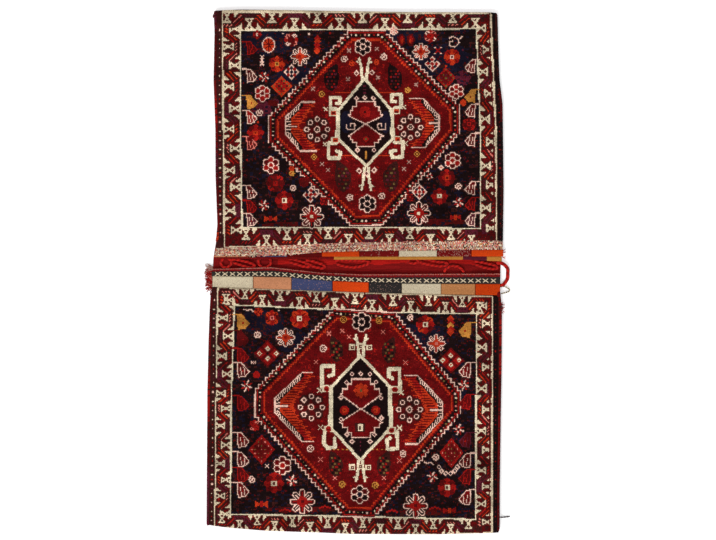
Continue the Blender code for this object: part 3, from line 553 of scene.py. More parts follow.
def medallion(chart, corners):
    """The stepped medallion: its pale line, dark band, beads, orange line and madder ground."""
    bands = (("pale", 0.0), ("deep", 1.3), ("red", 2.3), ("deep", 3.1), ("black", 3.7), ("deep", 6.8),
             ("red", 8.4), ("orange", 9.3), ("madder", 10.6))
    shortest_slant = 12
    for yarn, distance in bands:
        outline = []
        step = 5.0 if distance < 1.5 else 3.2
        for start, end in following(moved_in(corners, distance)):
            slanted = min(abs(end[0] - start[0]), abs(end[1] - start[1])) > shortest_slant
            outline += stairs(start, end, step) if slanted else [start]
        chart.fill(outline, yarn)
    speckle(chart, "madder", (("deep", 0.10), ("red", 0.06), ("crimson", 0.1)), 7)
    bead_line, bead_gap = 5.2, 4.3
    beads = ("pale", "ivory", "olive", "pink", "ivory", "red")
    number = 0
    for start, end in following(moved_in(corners, bead_line)):
        for column, row in spaced(start, end, bead_gap):
            chart.box(column, row, 1.8, 1.6, beads[number % len(beads)])
            number += 1


def frame_lines(chart, points):
    """The ivory hexagon frame, stouter down its sides."""
    width = 4.3
    for start, end in following(points):
        chart.line([start, end], "cream", width if abs(start[0] - end[0]) < 4 else width - 1.5)


def hooks(chart, *routes):
    """The square spiral hooks of the frame."""
    for route in routes:
        chart.line(list(route), "cream", 3.4)


def fork(chart, x, root, tips, half=6.0):
    """Two prongs that lean apart from the frame's apex, each with a notched head."""
    width = 3.0
    rise = tips - root
    for sign in (-1, 1):
        knee = (x + sign * half * 0.52, root + rise * 0.55)
        chart.line([(x + sign * half * 0.36, root), knee], "cream", width)
        chart.line([knee, (x + sign * half * 0.86, tips)], "cream", width * 0.8)
        notch = [(x + sign * half * 0.5, root + rise * 0.72), (x + sign * (half + 1.2), root + rise * 0.84)]
        chart.line(notch, "cream", 1.6)


def small_eye(chart, x, y, radius, ground):
    """A small outlined diamond."""
    chart.diamond(x, y, radius, "pale")
    chart.diamond(x, y, radius - 1.5, ground)


def vase(chart, x, top, bottom, shoulder, half_top, half_arm, core):
    """A red stepped vase with a pale outline, from its wide end to its neck."""
    step = (shoulder - top) / 3
    right = [(half_top, top), (half_top, top + step), (half_top + 4, top + step),
             (half_top + 4, top + 2 * step), (half_arm - 2.5, top + 2 * step),
             (half_arm - 2.5, shoulder - step * 0.2), (half_arm, shoulder),
             (half_arm - 4, shoulder + step * 0.6), (1.2, bottom)]
    outline = [(x + a, b) for a, b in right] + [(x - a, b) for a, b in reversed(right)]
    chart.fill(outline, core)
    chart.ring(outline, "pale", 1.1)


def star(chart, x, y, radius, yarn, eye):
    """A star of eight blunt points."""
    for number in range(8):
        column, row = polar(x, y, radius * 0.72, number / 8)
        chart.diamond(column, row, radius * 0.34, yarn)
    chart.disc(x, y, radius * 0.6, yarn)
    chart.box(x, y, 2.4, 2.4, eye)


def side_flower(chart, x, y, radius):
    """Eight outlined spots round a ninth, on a dark patch."""
    for number in range(8):
        chart.disc(*polar(x, y, radius * 0.7, number / 8), radius * 0.42, "brown" if number % 2 else "deep")
    for number in range(8):
        column, row = polar(x, y, radius * (0.82 if number % 2 == 0 else 0.76), number / 8)
        chart.disc(column, row, 2.7, "pale")
        chart.disc(column, row, 1.5, "brown")
    chart.disc(x, y, 3.2, "pale")
    chart.disc(x, y, 2.1, "brown")
    chart.box(x, y, 1.2, 1.2, "ivory")


def comb(chart, outer, tip, side):
    """A wing at the medallion's side: a striped back along the outer points, and orange flames."""
    centre = (sum(point[0] for point in outer) / len(outer), sum(point[1] for point in outer) / len(outer))

    def inward(point, distance):
        """The point moved some knots towards the wing's centre."""
        return along(point, centre, distance / math.dist(point, centre))

    chart.fill(outer + [tip], "red")
    chart.fill(outer[1:-1] + [along(tip, centre, 0.5)], "orange")
    for start, end in ((outer[0], tip), (tip, outer[-1])):
        for number, (column, row) in enumerate(spaced(start, end, 3.2)):
            reach = 5.0 if number % 2 else 1.5
            foot = column - side * 3
            chart.fill([(foot, row - 1.7), (foot, row + 1.7), (column + side * reach, row)], "orange")
            chart.line([(column - side * 9.5, row), (column - side * 1.5, row)], "madder", 1.1)
    back = outer[1:-1]
    chart.line([inward(point, 2.8) for point in back], "black", 5.0)
    for start, end in zip(back, back[1:]):
        upright = abs(end[0] - start[0]) < 3
        for column, row in spaced(start, end, 3.5):
            low = 1 if row > tip[1] else -1
            inner = (column + side * 4.8, row + low) if upright else (column - side * 1.4, row - low * 6.2)
            chart.line([(column, row), inner], "pale", 1.0)
    chart.line(outer, "pale", 1.0)
    chart.line([(outer[2][0], tip[1]), (tip[0] - side * 2, tip[1])], "pale", 1.0)


def shade_field(chart, patches):
    """Patches where the dark field's yarn changes."""
    for x, y, across, down, yarn in patches:
        knots, column, row = chart.window([(x - across, y - down), (x + across, y + down)], 1)
        near = ((column - x) / across) ** 2 + ((row - y) / down) ** 2
        wave = numpy.sin(row * 0.9 + x) * 0.18 + numpy.sin(column * 0.35) * 0.12
        knots[(near + wave < 1) & (knots == YARNS.index("black"))] = YARNS.index(yarn)


STRIPES = (("orange", "deep", "red"), ("pink", "brown", "red"), ("orange", "brown", "orange"),
           ("brown", "red", "brown"), ("plum", "brown", "plum"), ("red", "brown", "orange"))
BANDS = (("deep", "orange"), ("brown", "pink"), ("brown", "plum"), ("brown", "red"), ("plum", "brown"))


def bays(places, first):
    """Bays whose bow ties lie in turn towards the outer and the inner line."""
    sides = ("out", "in") if first == "out" else ("in", "out")
    return [(place, sides[number % 2]) for number, place in enumerate(places)]


def steady(start, end, gap):
    """Places from a start to an end, a gap apart."""
    return [start + gap * number for number in range(int((end - start) / gap) + 1)]


def repeat(motif, chart, details, *places):
    """One motif at each of some places."""
    for x, y in places:
        motif(chart, x, y, *details)


def upper_chart():
    """The chart of the upper pouch's front."""
    chart = Chart(208, 4, 510, 250, "brown")
    borders = Borders(
        left=(edge((10, 222.0), (60, 222.6), (240, 224.4)), edge((10, 240.6), (150, 240.8), (240, 242.4))),
        right=(edge((10, 490.5), (137, 496.2), (240, 496.6)), edge((10, 475.6), (137, 480.6), (240, 480.6))),
        top=(edge((210, 10.4), (500, 11.8)), edge((210, 30.4), (500, 28.6))),
        bottom=(edge((210, 247.5), (350, 246.0), (500, 246.0)),
                edge((210, 228.0), (350, 227.2), (500, 228.6))))
    left_bays = (29.0, 46.7, 65.3, 86.7, 108.2, 129.0, 148.4, 170.3, 187.0, 210.6, 230.0)
    right_bays = (28.0, 49.5, 71.6, 93.7, 119.0, 141.6, 165.8, 184.7, 207.9, 228.0)
    top_bays = [227.0, 249.4] + steady(272.0, 480, 22.6)
    lay_borders(chart, borders,
                (bays(left_bays, "in"), bays(right_bays, "in")),
                (bays(top_bays, "out"), bays(steady(246, 482, 20.5), "in")))
    rim = [(column, float(borders.top[0](column)) + 0.7) for column in (224, 290, 350, 420, 488)]
    chart.line(rim, "ivory", 3.0)
    guard_spots(chart, edge((10, 219.6), (240, 220.2)), 30, 240, "brown")
    guard_spots(chart, edge((10, 494.5), (137, 500.0), (240, 500.4)), 30, 240, "black", DARK_SPOTS)
    shade_field(chart, ((268, 42, 30, 13, "navy"), (300, 80, 30, 14, "navy"), (395, 36, 40, 9, "navy"),
                        (440, 60, 30, 16, "navy"), (262, 108, 11, 8, "plum"), (290, 225, 30, 3, "deep"),
                        (440, 222, 26, 3, "deep"), (463, 78, 8, 7, "plum"), (278, 62, 9, 6, "deep")))
    medallion(chart, [(347, 30.0), (382.6, 30.0), (459.8, 107.4), (460.3, 134), (384, 225.4), (353, 226.4),
                      (268.2, 139.7), (267.8, 115.3)])
    rosette(chart, 362.8, 46.7, 9.0, ("black",), ("black",), 6)
    rosette(chart, 367.3, 203.8, 9.4, ("black",), ("black",), 6)
    for x, lean in ((331.2, 1), (395.1, -1)):
        boteh(chart, x, 77.5, 15, 27, lean, "black", ("plum", "crimson", "brown", "red"))
    for x, lean in ((343.1, -1), (390.8, 1)):
        boteh(chart, x, 176.5, 16, 31, lean, "brown", ("plum", "crimson", "deep", "olive"))
    for sign in (-1, 1):
        for row in (92.6, 95.0, 155.6, 158.0):
            chart.line([(365 + sign * 12, row), (365 + sign * 30, row)], "orange", 0.9)
    inner = [(364.8, 80), (391.2, 111), (392.6, 138), (366.3, 163.5), (338.6, 138), (339.2, 111)]
    chart.fill(inner, "black")
    frame_lines(chart, [(364.8, 78.5), (391.6, 110.6), (392.8, 138.2), (366.3, 166), (337.4, 138.2),
                        (338.2, 110.6)])
    fork(chart, 364.4, 78.5, 58.6)
    fork(chart, 366.3, 168.0, 189.5, 5.4)
    repeat(small_eye, chart, (3.1, "deep"), (356.5, 73.3), (371.8, 72.6), (359.2, 170.8), (374.2, 170.1),
           (366.3, 173.6))
    hooks(chart, ((336.0, 109), (330.4, 109), (330.4, 97.2), (339.8, 97.2), (339.8, 103.4), (336.6, 103.4)),
          ((395.0, 108), (400.8, 107), (400.8, 94.2), (392.2, 94.2), (391.4, 101.4), (395.6, 101.4)),
          ((336.0, 143), (328.6, 143), (328.8, 158.0), (339.0, 158.0), (340.6, 152.6), (336.4, 151.0)),
          ((395.0, 142), (403.0, 142), (402.6, 157.0), (392.6, 157.4), (390.6, 151.6), (395.4, 150.4)))
    for x, y in ((333.3, 112.6), (396.5, 111.2), (335.4, 140), (397.9, 139.3)):
        chart.nest(x, y, (8.0, 6.6, "ivory"), (5.0, 4.0, "orange"))
        chart.box(x, y + 0.6, 2.6, 1.6, "deep")
    repeat(cross_mark, chart, (1.8, "ivory"), (325.6, 109.2), (403.9, 107.2), (324.8, 144.2),
           (405.4, 143.5))
    for x in (346, 385.5):
        chart.disc(x, 122, 5.6, "navy", 2.0)
    vase(chart, 365.6, 101.7, 123.4, 115.0, 9.4, 17.6, "madder")
    vase(chart, 365.6, 146.3, 124.4, 136.0, 9.0, 17.8, "madder")
    star(chart, 364.9, 111.9, 6.4, "red", "black")
    star(chart, 365.9, 139.0, 5.0, "deep", "black")
    chart.diamond(365.9, 139.0, 3.6, "red")
    chart.box(365.9, 139.0, 1.6, 1.6, "olive")
    repeat(small_eye, chart, (2.6, "plum"), (356.5, 98.2), (364.9, 97.6), (373.3, 98.2), (357.5, 149.9),
           (374.0, 149.9))
    for x, side in ((350.9, 1), (381.7, -1)):
        chart.line([(x - 4 * side, 124), (x - 4 * side, 129), (x + 3 * side, 129.6), (x + 4.5 * side, 124.2),
                    (x, 123.4), (x, 126.4)], "pale", 1.2)
    chart.box(366.3, 154.7, 1.8, 8.0, "gold")
    for y in (86, 89.5, 93):
        chart.box(364.9, y, 3.2, 1.1, "plum")
    comb(chart, [(315, 102), (301, 102), (285.6, 117), (285.6, 134), (300, 151), (317, 151)], (298, 126.5), 1)
    comb(chart, [(409, 98.6), (423, 98.6), (439, 115), (439, 131), (425, 147.7), (411, 147.7)],
         (427, 123), -1)
    side_flower(chart, 317.2, 129.4, 12.6)
    side_flower(chart, 410.5, 127.3, 12.6)
    repeat(ring_mark, chart, (3.4, "pale"), (344.3, 58.9), (383.8, 56.8), (349.9, 197.5), (381.7, 196.1))
    repeat(ring_mark, chart, (2.9, "orange"), (351.8, 63.2), (376.5, 61.8))
    repeat(ring_mark, chart, (2.9, "gold"), (321.8, 94), (407.7, 90.2), (314, 157), (417, 154))
    repeat(cross_mark, chart, (1.6, "mauve"), (376.8, 48.8), (312.6, 88.8), (378.2, 77.5), (415.8, 84.5),
           (348, 79.4), (328, 170), (403.6, 168.8), (322, 164), (349, 50.5), (409, 162))
    upper_field(chart)
    return chart


def upper_field(chart):
    """The flowers, diamonds and flags of the upper pouch's dark field."""
    pennants(chart, 242, 1, (15,), (48, "red", "deep"), (75.5, "pale", "deep"), (102, "gold", "gold"),
             (117.3, "pale", "red"), (143.3, "pink", "deep"), (192.2, "pale", "deep"), (206.5, "red", "deep"),
             (219.8, "pale", "plum"))
    pennants(chart, 480, -1, (15,), (66.3, "pale", "madder"), (95.8, "gold", "gold"),
             (110.5, "pale", "madder"), (139.5, "pale", "deep"), (187.9, "pale", "madder"),
             (203.7, "red", "deep"), (219.5, "pale", "plum"))
    blossom(chart, 257.1, 34.4, 4.5, ("red", "madder"), "pale")
    daisy(chart, 268.6, 44.9, 6.6, "orange", "deep")
    blossom(chart, 291.3, 39.8, 7.2, ("deep", "pale", "red", "pink"), "deep", "madder")
    for y, yarn in ((38.5, "red"), (41.5, "orange"), (45.0, "red"), (48.5, "red"), (51.0, "orange")):
        chart.diamond(317.3, y, 3.4, yarn)
    rosette(chart, 300, 56.6, 9.6, ("deep", "black"), ("orange", "red"))
    repeat(cross_mark, chart, (2.0, "pale"), (262.0, 57.0), (262.0, 63.4))
    chart.box(262, 60.2, 1.4, 6.5, "pale")
    blossom(chart, 277, 64.3, 8.0, ("orange", "red"), "gold", "deep")
    lattice(chart, 291.5, 72, 8.4, ("navy", "red"))
    pinwheel(chart, 264, 77, 5.8)
    checked_diamond(chart, 281.6, 86.2, 10.6, "orange", ("olive", "red", "brown"))
    rosette(chart, 262.4, 93.4, 8.6, ("red",), ("madder",), 6)
    boteh(chart, 273, 102.5, 12, 7, 1, "plum", ("deep",))
    ring_mark(chart, 259.5, 112.8, 3.4)
    blossom(chart, 255.6, 132.7, 8.4, ("red", "deep"), "orange", "madder")
    rosette(chart, 270.9, 165.2, 9.0, ("red", "deep"), ("red",), 6)
    blossom(chart, 275.5, 183.1, 9.4, ("deep", "red", "deep", "madder"), "red", "brown")
    ring_mark(chart, 291.8, 168.6, 2.8, "orange", "red")
    ring_mark(chart, 291.8, 173.6, 2.8, "gold", "red")
    ring_mark(chart, 293.1, 188.2, 3.3)
    blossom(chart, 304, 182, 5.5, ("deep", "madder"), "red")
    blossom(chart, 284.2, 200.4, 9.4, ("red", "madder"), "ivory")
    lattice(chart, 310.7, 194.8, 8.2, ("red", "navy"))
    blossom(chart, 324, 201, 4.5, ("deep", "red"), "red")
    pinwheel(chart, 263.8, 205.5, 6.0)
    rosette(chart, 311.7, 216.7, 12.2, ("black", "deep"), ("red", "ivory"))
    bow_tie(chart, 270.9, 218.8, 6.5, 3.0, "orange", "red")
    rosette(chart, 393.7, 30.6, 4.5, ("pink",), ("pink",), 6)
    for sign in (-1, 1):
        chart.disc(406.3 + sign * 4.6, 40, 3.8, "deep", 1.6)
        chart.disc(406.3 + sign * 4.4, 40, 2.0, "red", 2.0)
        chart.disc(406.3 + sign * 4.0, 41, 1.0, "orange", 2.0)
    blossom(chart, 430.5, 36.0, 6.6, ("red", "pink", "madder", "pale"), "red", "deep")
    chart.line([(449, 38), (453, 36.5), (458, 39), (459, 43), (455, 47), (450, 46), (449.5, 42), (453, 41)],
               "pale", 1.3)
    chart.line([(459, 39), (463, 36)], "pale", 1.2)
    rosette(chart, 421, 51.6, 8.8, ("deep", "orange"), ("orange", "red"))
    for turn in range(4):
        chart.box(*polar(437.9, 50.5, 4.4, turn / 4 + 0.125), 2.0, 1.6, "pale")
    cross_mark(chart, 437.9, 50.5, 2.4, "red")
    blossom(chart, 452.1, 56.8, 8.2, ("orange", "red"), "pale")
    lattice(chart, 432.3, 63.7, 8.0, ("red", "navy"))
    checked_diamond(chart, 445.8, 77.9, 10.0, "red", ("olive", "plum", "deep"), 1.1)
    rosette(chart, 456.3, 91.6, 8.0, ("red", "madder"), ("red",), 6)
    chart.disc(463.2, 102.6, 3.2, "orange")
    blossom(chart, 469, 124.2, 7.0, ("deep", "red"), "red")
    rosette(chart, 452.6, 160.5, 8.8, ("red", "deep"), ("red",), 6)
    small_eye(chart, 441, 167.4, 2.8, "orange")
    blossom(chart, 446.8, 177.6, 8.6, ("red", "deep", "madder", "deep"), "orange", "deep")
    pinwheel(chart, 429.5, 176.3, 3.4)
    ring_mark(chart, 458.4, 186.3, 3.3)
    lattice(chart, 419.5, 192.1, 7.8, ("red", "navy"))
    blossom(chart, 439.5, 196.3, 8.2, ("red", "madder"), "ivory")
    blossom(chart, 410, 197.4, 4.2, ("deep", "red"), "red")
    pinwheel(chart, 458.4, 202.6, 5.6)
    rosette(chart, 418.9, 213.2, 12.0, ("black", "deep"), ("red", "ivory"))
    bow_tie(chart, 455.8, 217.4, 5.5, 3.0, "red", "orange")
    for x, y, yarn in ((275, 33.5, "deep"), (309, 34, "pale"), (283, 33.5, "pale"), (330, 33.6, "deep"),
                       (330, 33, "red"), (463, 50, "plum"), (446, 66, "orange"), (247, 160, "red"),
                       (293, 103, "deep"), (258, 122, "orange")):
        speck(chart, x, y, yarn)


def lower_chart():
    """The chart of the lower pouch's front."""
    chart = Chart(200, 284, 508, 540, "brown")
    borders = Borders(
        left=(edge((287, 217.8), (400, 215.2), (525, 214.6)), edge((287, 235.0), (400, 231.2), (525, 230.6))),
        right=(edge((287, 492.6), (525, 492.0)), edge((287, 476.6), (525, 475.6))),
        top=(edge((205, 286.8), (360, 292.6), (490, 296.3)),
             edge((205, 303.6), (236, 305), (333, 309.6), (393, 312.5), (500, 314.0))),
        bottom=(edge((205, 525.6), (229, 528.8), (265, 531.8), (349, 535.0), (433, 535.4), (500, 532.6)),
                edge((205, 513.8), (360, 516.5), (500, 520.0))))
    left_bays = (300.0, 317.8, 336.0, 356.0, 373.9, 393.3, 408.4, 425.7, 445.1, 463.5, 479.8, 496.0, 514.0)
    right_bays = (306.0, 323.4, 347.2, 366.8, 388.5, 409.5, 430.7, 449.7, 470.3, 486.5, 503.9, 522.0)
    top_bays = (226.0, 244.9, 262.2, 280, 299.5, 316.3, 334.7, 355, 372, 393, 410.7, 428.6, 445.4, 462.3, 480)
    lay_borders(chart, borders,
                (bays(left_bays, "in"), bays(right_bays, "in")),
                (bays(top_bays, "in"), bays(steady(222, 486, 17.6), "in")))
    guard_spots(chart, edge((287, 214.4), (525, 211.4)), 300, 525, "brown")
    guard_spots(chart, edge((287, 495.8), (525, 495.6)), 305, 525, "black", DARK_SPOTS)
    shade_field(chart, ((262, 322, 22, 12, "navy"), (300, 345, 20, 10, "navy"), (420, 335, 26, 12, "navy"),
                        (445, 400, 26, 14, "navy"), (300, 510, 34, 3, "deep"), (430, 512, 30, 3, "deep"),
                        (262, 395, 7, 7, "plum")))
    medallion(chart, [(332.7, 308.0), (393.4, 312), (461.2, 394), (461.2, 414.4), (375.5, 518.2),
                      (345, 517.2), (254.2, 414), (254.6, 388)])
    rosette(chart, 361.7, 322, 10.2, ("black",), ("black",), 6)
    rosette(chart, 359.8, 494.5, 9.6, ("black", "deep"), ("navy",), 6)
    for x, lean, y in ((336.5, -1, 349), (388.7, 1, 350), (335.9, -1, 464), (383.6, 1, 464)):
        boteh(chart, x, y, 14, 26, lean, "brown", ("olive", "red", "black"))
    for first in (334, 373):
        for number in range(4):
            chart.box(first + number * 4.4, 449.5, 2.2, 1.4, "gold")
    inner = [(360.3, 358), (388, 387), (390.6, 427), (360.3, 459), (331.0, 427), (332.2, 387)]
    chart.fill(inner, "black")
    frame_lines(chart, [(360.6, 355.6), (389.8, 387.0), (391.0, 427.6), (360.3, 460), (330.4, 427.2),
                        (331.2, 387.4)])
    fork(chart, 361.0, 356.0, 335.4, 6.0)
    fork(chart, 360.6, 461.0, 480.5, 5.2)
    repeat(Chart.nest, chart, ((5.8, 5.8, "ivory"), (3.0, 3.0, "deep"), (1.1, 1.1, "ivory")),
           (352.4, 347.4), (369.4, 347.6), (361, 346.4), (352.4, 467.2), (368.2, 467.5), (360.4, 466.6))
    hooks(chart,
          ((328.4, 386.8), (322.0, 386.8), (322.0, 365.8), (333.6, 365.8), (333.4, 374.6), (329.0, 376.0)),
          ((392.6, 388.0), (400.0, 391.6), (399.6, 368.8), (388.8, 368.8), (388.8, 376.6), (392.8, 378.4)),
          ((328.2, 427.0), (324.4, 431.0), (323.8, 443.0), (327.4, 448.2), (335.0, 447.2), (334.6, 438.0)),
          ((391.6, 428.0), (397.0, 432.0), (397.6, 448.6), (388.0, 449.4), (386.8, 440.4), (390.0, 438.0)))
    for x, y in ((326.6, 388.9), (395.0, 389.4), (328.4, 429), (391.6, 430.4)):
        chart.box(x, y, 9.4, 6.4, "ivory")
        chart.disc(x, y, 2.8, "red")
        chart.box(x, y + 0.4, 2.6, 1.4, "deep")
    repeat(cross_mark, chart, (2.2, "ivory"), (320.4, 427.4), (399.4, 428), (319.8, 390.4), (401.2, 392.6))
    vase(chart, 361.0, 379.0, 408.6, 394.0, 9.4, 21.0, "madder")
    vase(chart, 361.0, 437.1, 409.4, 422.6, 9.4, 21.0, "madder")
    star(chart, 361.2, 390.5, 7.8, "orange", "olive")
    chart.nest(360.3, 427.7, (10.4, 9.0, "brown"), (5.4, 7.0, "ivory"), (2.4, 3.8, "brown"))
    for x in (344.4, 375.9):
        chart.disc(x, 410.4, 4.6, "red")
        chart.disc(x, 410.4, 2.6, "orange")
        chart.box(x, 410.4, 1.2, 1.2, "deep")
    repeat(small_eye, chart, (2.7, "plum"), (352.2, 374), (360.8, 373.6), (370.0, 374), (352, 441.6),
           (370, 441.6), (346.5, 382.5), (376.0, 382.0), (341, 397.5), (381, 398), (347, 434.6),
           (374.4, 434.6), (341, 419), (381.4, 418))
    for y in (442, 446, 450):
        chart.box(360.6, y, 1.6, 2.2, "plum")
    comb(chart, [(313, 372.8), (302, 372.8), (275, 398), (275, 413), (302, 441.7), (314, 441.7)],
         (290, 406), 1)
    comb(chart, [(404, 375.7), (418, 375.7), (442.7, 402), (442.7, 418), (418, 444), (405, 444)],
         (428, 410), -1)
    side_flower(chart, 311.2, 407.2, 13.4)
    side_flower(chart, 409.4, 409.5, 13.0)
    repeat(ring_mark, chart, (3.5, "pale"), (323.3, 348.5), (310.4, 448.6), (403, 453.7))
    repeat(ring_mark, chart, (3.4, "gold"), (343.5, 319.5), (379.0, 320.5), (342.2, 484.2), (375.2, 485.3))
    repeat(cross_mark, chart, (1.9, "pink"), (342.2, 330.9), (383, 332), (405.6, 362.5), (320.4, 459.5),
           (399.6, 460.6), (329, 333.5), (335, 478), (384, 478), (316, 362), (349, 337))
    lower_field(chart)
    return chart


def lower_field(chart):
    """The flowers, diamonds and flags of the lower pouch's dark field."""
    pennants(chart, 232, 1, (17, 15), (321.8, "gold", "gold"), (338.2, "deep", "deep"),
             (355.5, "red", "madder"), (369.8, "pale", "deep"), (403.3, "red", "madder"),
             (440, "pale", "madder"), (459.4, "pale", "deep"), (474.7, "red", "deep"),
             (490, "pale", "madder"))
    pennants(chart, 476, -1, (17, 15), (329.9, "gold", "gold"), (370, "pale", "madder"),
             (401.9, "red", "madder"), (440, "plum", "deep"), (460.5, "pale", "deep"), (476.8, "red", "deep"),
             (497.4, "pale", "madder"))
    chart.line([(244, 309.4), (248, 310.4), (251, 309), (253, 311.4)], "pale", 1.3)
    blossom(chart, 258.2, 311.8, 4.4, ("orange", "red"), "red")
    blossom(chart, 271.9, 317.8, 7.4, ("red", "orange", "deep", "orange"), "pink", "deep")
    speck(chart, 279, 310.3)
    blossom(chart, 299.8, 318.8, 9.8, ("red", "orange"), "ivory", "madder")
    ring_mark(chart, 257.4, 334.9, 3.5)
    rosette(chart, 285.7, 337.7, 9.6, ("deep", "navy"), ("orange", "red"))
    four_eyes(chart, 267.9, 353.5, 13.4)
    chart.box(253.4, 362.4, 4.8, 3.6, "pale")
    cross_mark(chart, 253.4, 362.4, 1.4, "deep")
    chart.disc(256.6, 374.9, 3.6, "red")
    pinwheel(chart, 246.4, 386.1, 6.6)
    blossom(chart, 254.5, 425.5, 6.0, ("red", "pink", "deep", "red"), "red")
    checked_diamond(chart, 261.7, 449.7, 13.2, "red", ("pink", "olive", "deep"), 1.15)
    rosette(chart, 282.4, 465.5, 9.8, ("deep", "madder"), ("red",), 6)
    cross_mark(chart, 266.8, 466, 1.8, "pale")
    ring_mark(chart, 251.8, 479.6, 3.4)
    blossom(chart, 274, 483.4, 9.8, ("red", "madder"), "ivory", "deep")
    pinwheel(chart, 291.8, 480.8, 6.2)
    rosette(chart, 302.3, 501.7, 12.8, ("deep", "black"), ("red", "deep"))
    bow_tie(chart, 261.2, 504.3, 6.5, 3.5, "orange", "red")
    ring_mark(chart, 410.2, 317.4, 3.3)
    blossom(chart, 425.2, 324.5, 9.4, ("red", "orange", "red", "deep"), "ivory", "deep")
    for y, yarn in ((319.0, "orange"), (322.5, "red"), (326.0, "gold"), (329.5, "red"), (332.0, "orange")):
        chart.diamond(450.9, y, 4.0, yarn)
    rosette(chart, 436.2, 343.4, 9.4, ("red", "deep"), ("orange", "pink"))
    four_eyes(chart, 450.9, 360.3, 13.0)
    pinwheel(chart, 463.9, 385.2, 6.2)
    pinwheel(chart, 458.5, 429.6, 6.0)
    checked_diamond(chart, 451.4, 452.9, 12.0, "red", ("pink", "olive", "deep"), 1.28)
    ring_mark(chart, 435.7, 457.2, 3.4)
    chart.line([(424, 462), (428, 463.4), (430, 462), (433, 464.6)], "pale", 1.3)
    pinwheel(chart, 432.4, 476.8, 5.8)
    for turn in (0.30, 0.38, 0.46, 0.54, 0.62, 0.70):
        small_eye(chart, *polar(448.2, 464, 9.6, turn), 2.8, "navy")
    blossom(chart, 447.1, 487.6, 9.4, ("red", "madder"), "ivory", "deep")
    rosette(chart, 415.6, 506, 12.6, ("deep", "black"), ("red", "deep"))
    bow_tie(chart, 449.2, 510.4, 6.5, 3.0, "red", "orange")
    for x, y in ((285, 511), (325, 508), (392, 512), (435, 509), (275, 475)):
        chart.line([(x - 5, y), (x, y - 2), (x + 5, y)], "red", 1.8)


# Materials
def fill_inputs(tree, node, inputs):
    """Gives inputs of a node their values, or links them to other nodes' outputs."""
    for name, value in inputs.items():
        if isinstance(value, bpy.types.NodeSocket):
            tree.links.new(value, node.inputs[name])
        else:
            node.inputs[name].default_value = value


def add_node(tree, kind, inputs, **settings):
    """A new node of a material, with its settings and inputs."""
    node = tree.nodes.new(f"ShaderNode{kind}")
    for name, value in settings.items():
        setattr(node, name, value)
    fill_inputs(tree, node, inputs)
    return node


def wool(name, abrash, fibre, rise, sheen=0.02, fibre_scale=1500, ribs=()):
    """Dyed wool. Its colour is the piece's yarn, with the dye's uneven bands (abrash) and the fibres' light
    and dark. Ribs are two pitches in metres, across and along the bag, or none."""
    made = bpy.data.materials.new(name)
    made.use_nodes = True
    tree = made.node_tree
    place = add_node(tree, "TexCoord", {}).outputs["Object"]
    yarn = add_node(tree, "Attribute", {}, attribute_name="yarn").outputs["Color"]

    def noise(scale, detail, stretch):
        """Noise over the object, stretched along its axes."""
        mapped = add_node(tree, "Mapping", {"Scale": stretch, "Vector": place}).outputs["Vector"]
        return add_node(tree, "TexNoise", {"Scale": scale, "Detail": detail, "Vector": mapped}).outputs["Fac"]

    def level(value, share):
        """A value from noise spread evenly round 1, by a share to each side."""
        spread = {"From Min": 0.3, "From Max": 0.7, "To Min": 1 - share, "To Max": 1 + share, "Value": value}
        return add_node(tree, "MapRange", spread).outputs["Result"]

    def reckon(kind, first, second):
        """Two values put together by a sum or a product."""
        return add_node(tree, "Math", {0: first, 1: second}, operation=kind).outputs[0]

    band_scale, band_stretch = 22, (0.35, 2.2, 1)
    dye_bands = level(noise(band_scale, 3, band_stretch), abrash)
    height = noise(fibre_scale, 2, (1, 1, 1))
    tone = reckon("MULTIPLY", dye_bands, level(height, fibre))
    tinted = add_node(tree, "VectorMath", {"Vector": yarn, "Scale": tone}, operation="SCALE")
    for axis, pitch in zip("XY", ribs):
        wave = {"Scale": math.pi / (10 * pitch), "Distortion": 1.2, "Detail": 1.5, "Detail Scale": 1.4,
                "Vector": place}
        rib = add_node(tree, "TexWave", wave, bands_direction=axis)
        height = reckon("ADD", height, rib.outputs["Fac"])
    bump = add_node(tree, "Bump", {"Strength": 0.7, "Distance": rise, "Height": height})
    fill_inputs(tree, tree.nodes["Principled BSDF"], {
        "Roughness": 0.95, "Sheen Weight": sheen, "Sheen Roughness": 0.55, "Specular IOR Level": 0.04,
        "Base Color": tinted.outputs["Vector"], "Normal": bump.outputs["Normal"]})
    return made


MATERIALS = {}


FINISHES = {
    "knotted_pile": dict(abrash=0.28, fibre=0.30, fibre_scale=1100, rise=0.0006),
    "flat_weave": dict(ribs=(0.0034, 0.0019), abrash=0.18, fibre=0.22, rise=0.0005),
    "slit_weave": dict(ribs=(0.0030, 0.0015), abrash=0.12, fibre=0.20, rise=0.0004),
    "overcast_wool": dict(abrash=0.22, fibre=0.35, fibre_scale=1400, rise=0.0004),
    "braided_wool": dict(sheen=0.06, abrash=0.15, fibre=0.40, fibre_scale=1800, rise=0.0003),
    "combed_wool": dict(sheen=0.06, abrash=0.10, fibre=0.35, fibre_scale=2200, rise=0.0002),
}


def material(name):
    """The named material, made when it is first asked for."""
    if name not in MATERIALS:
        MATERIALS[name] = wool(name, **FINISHES[name])
    return MATERIALS[name]


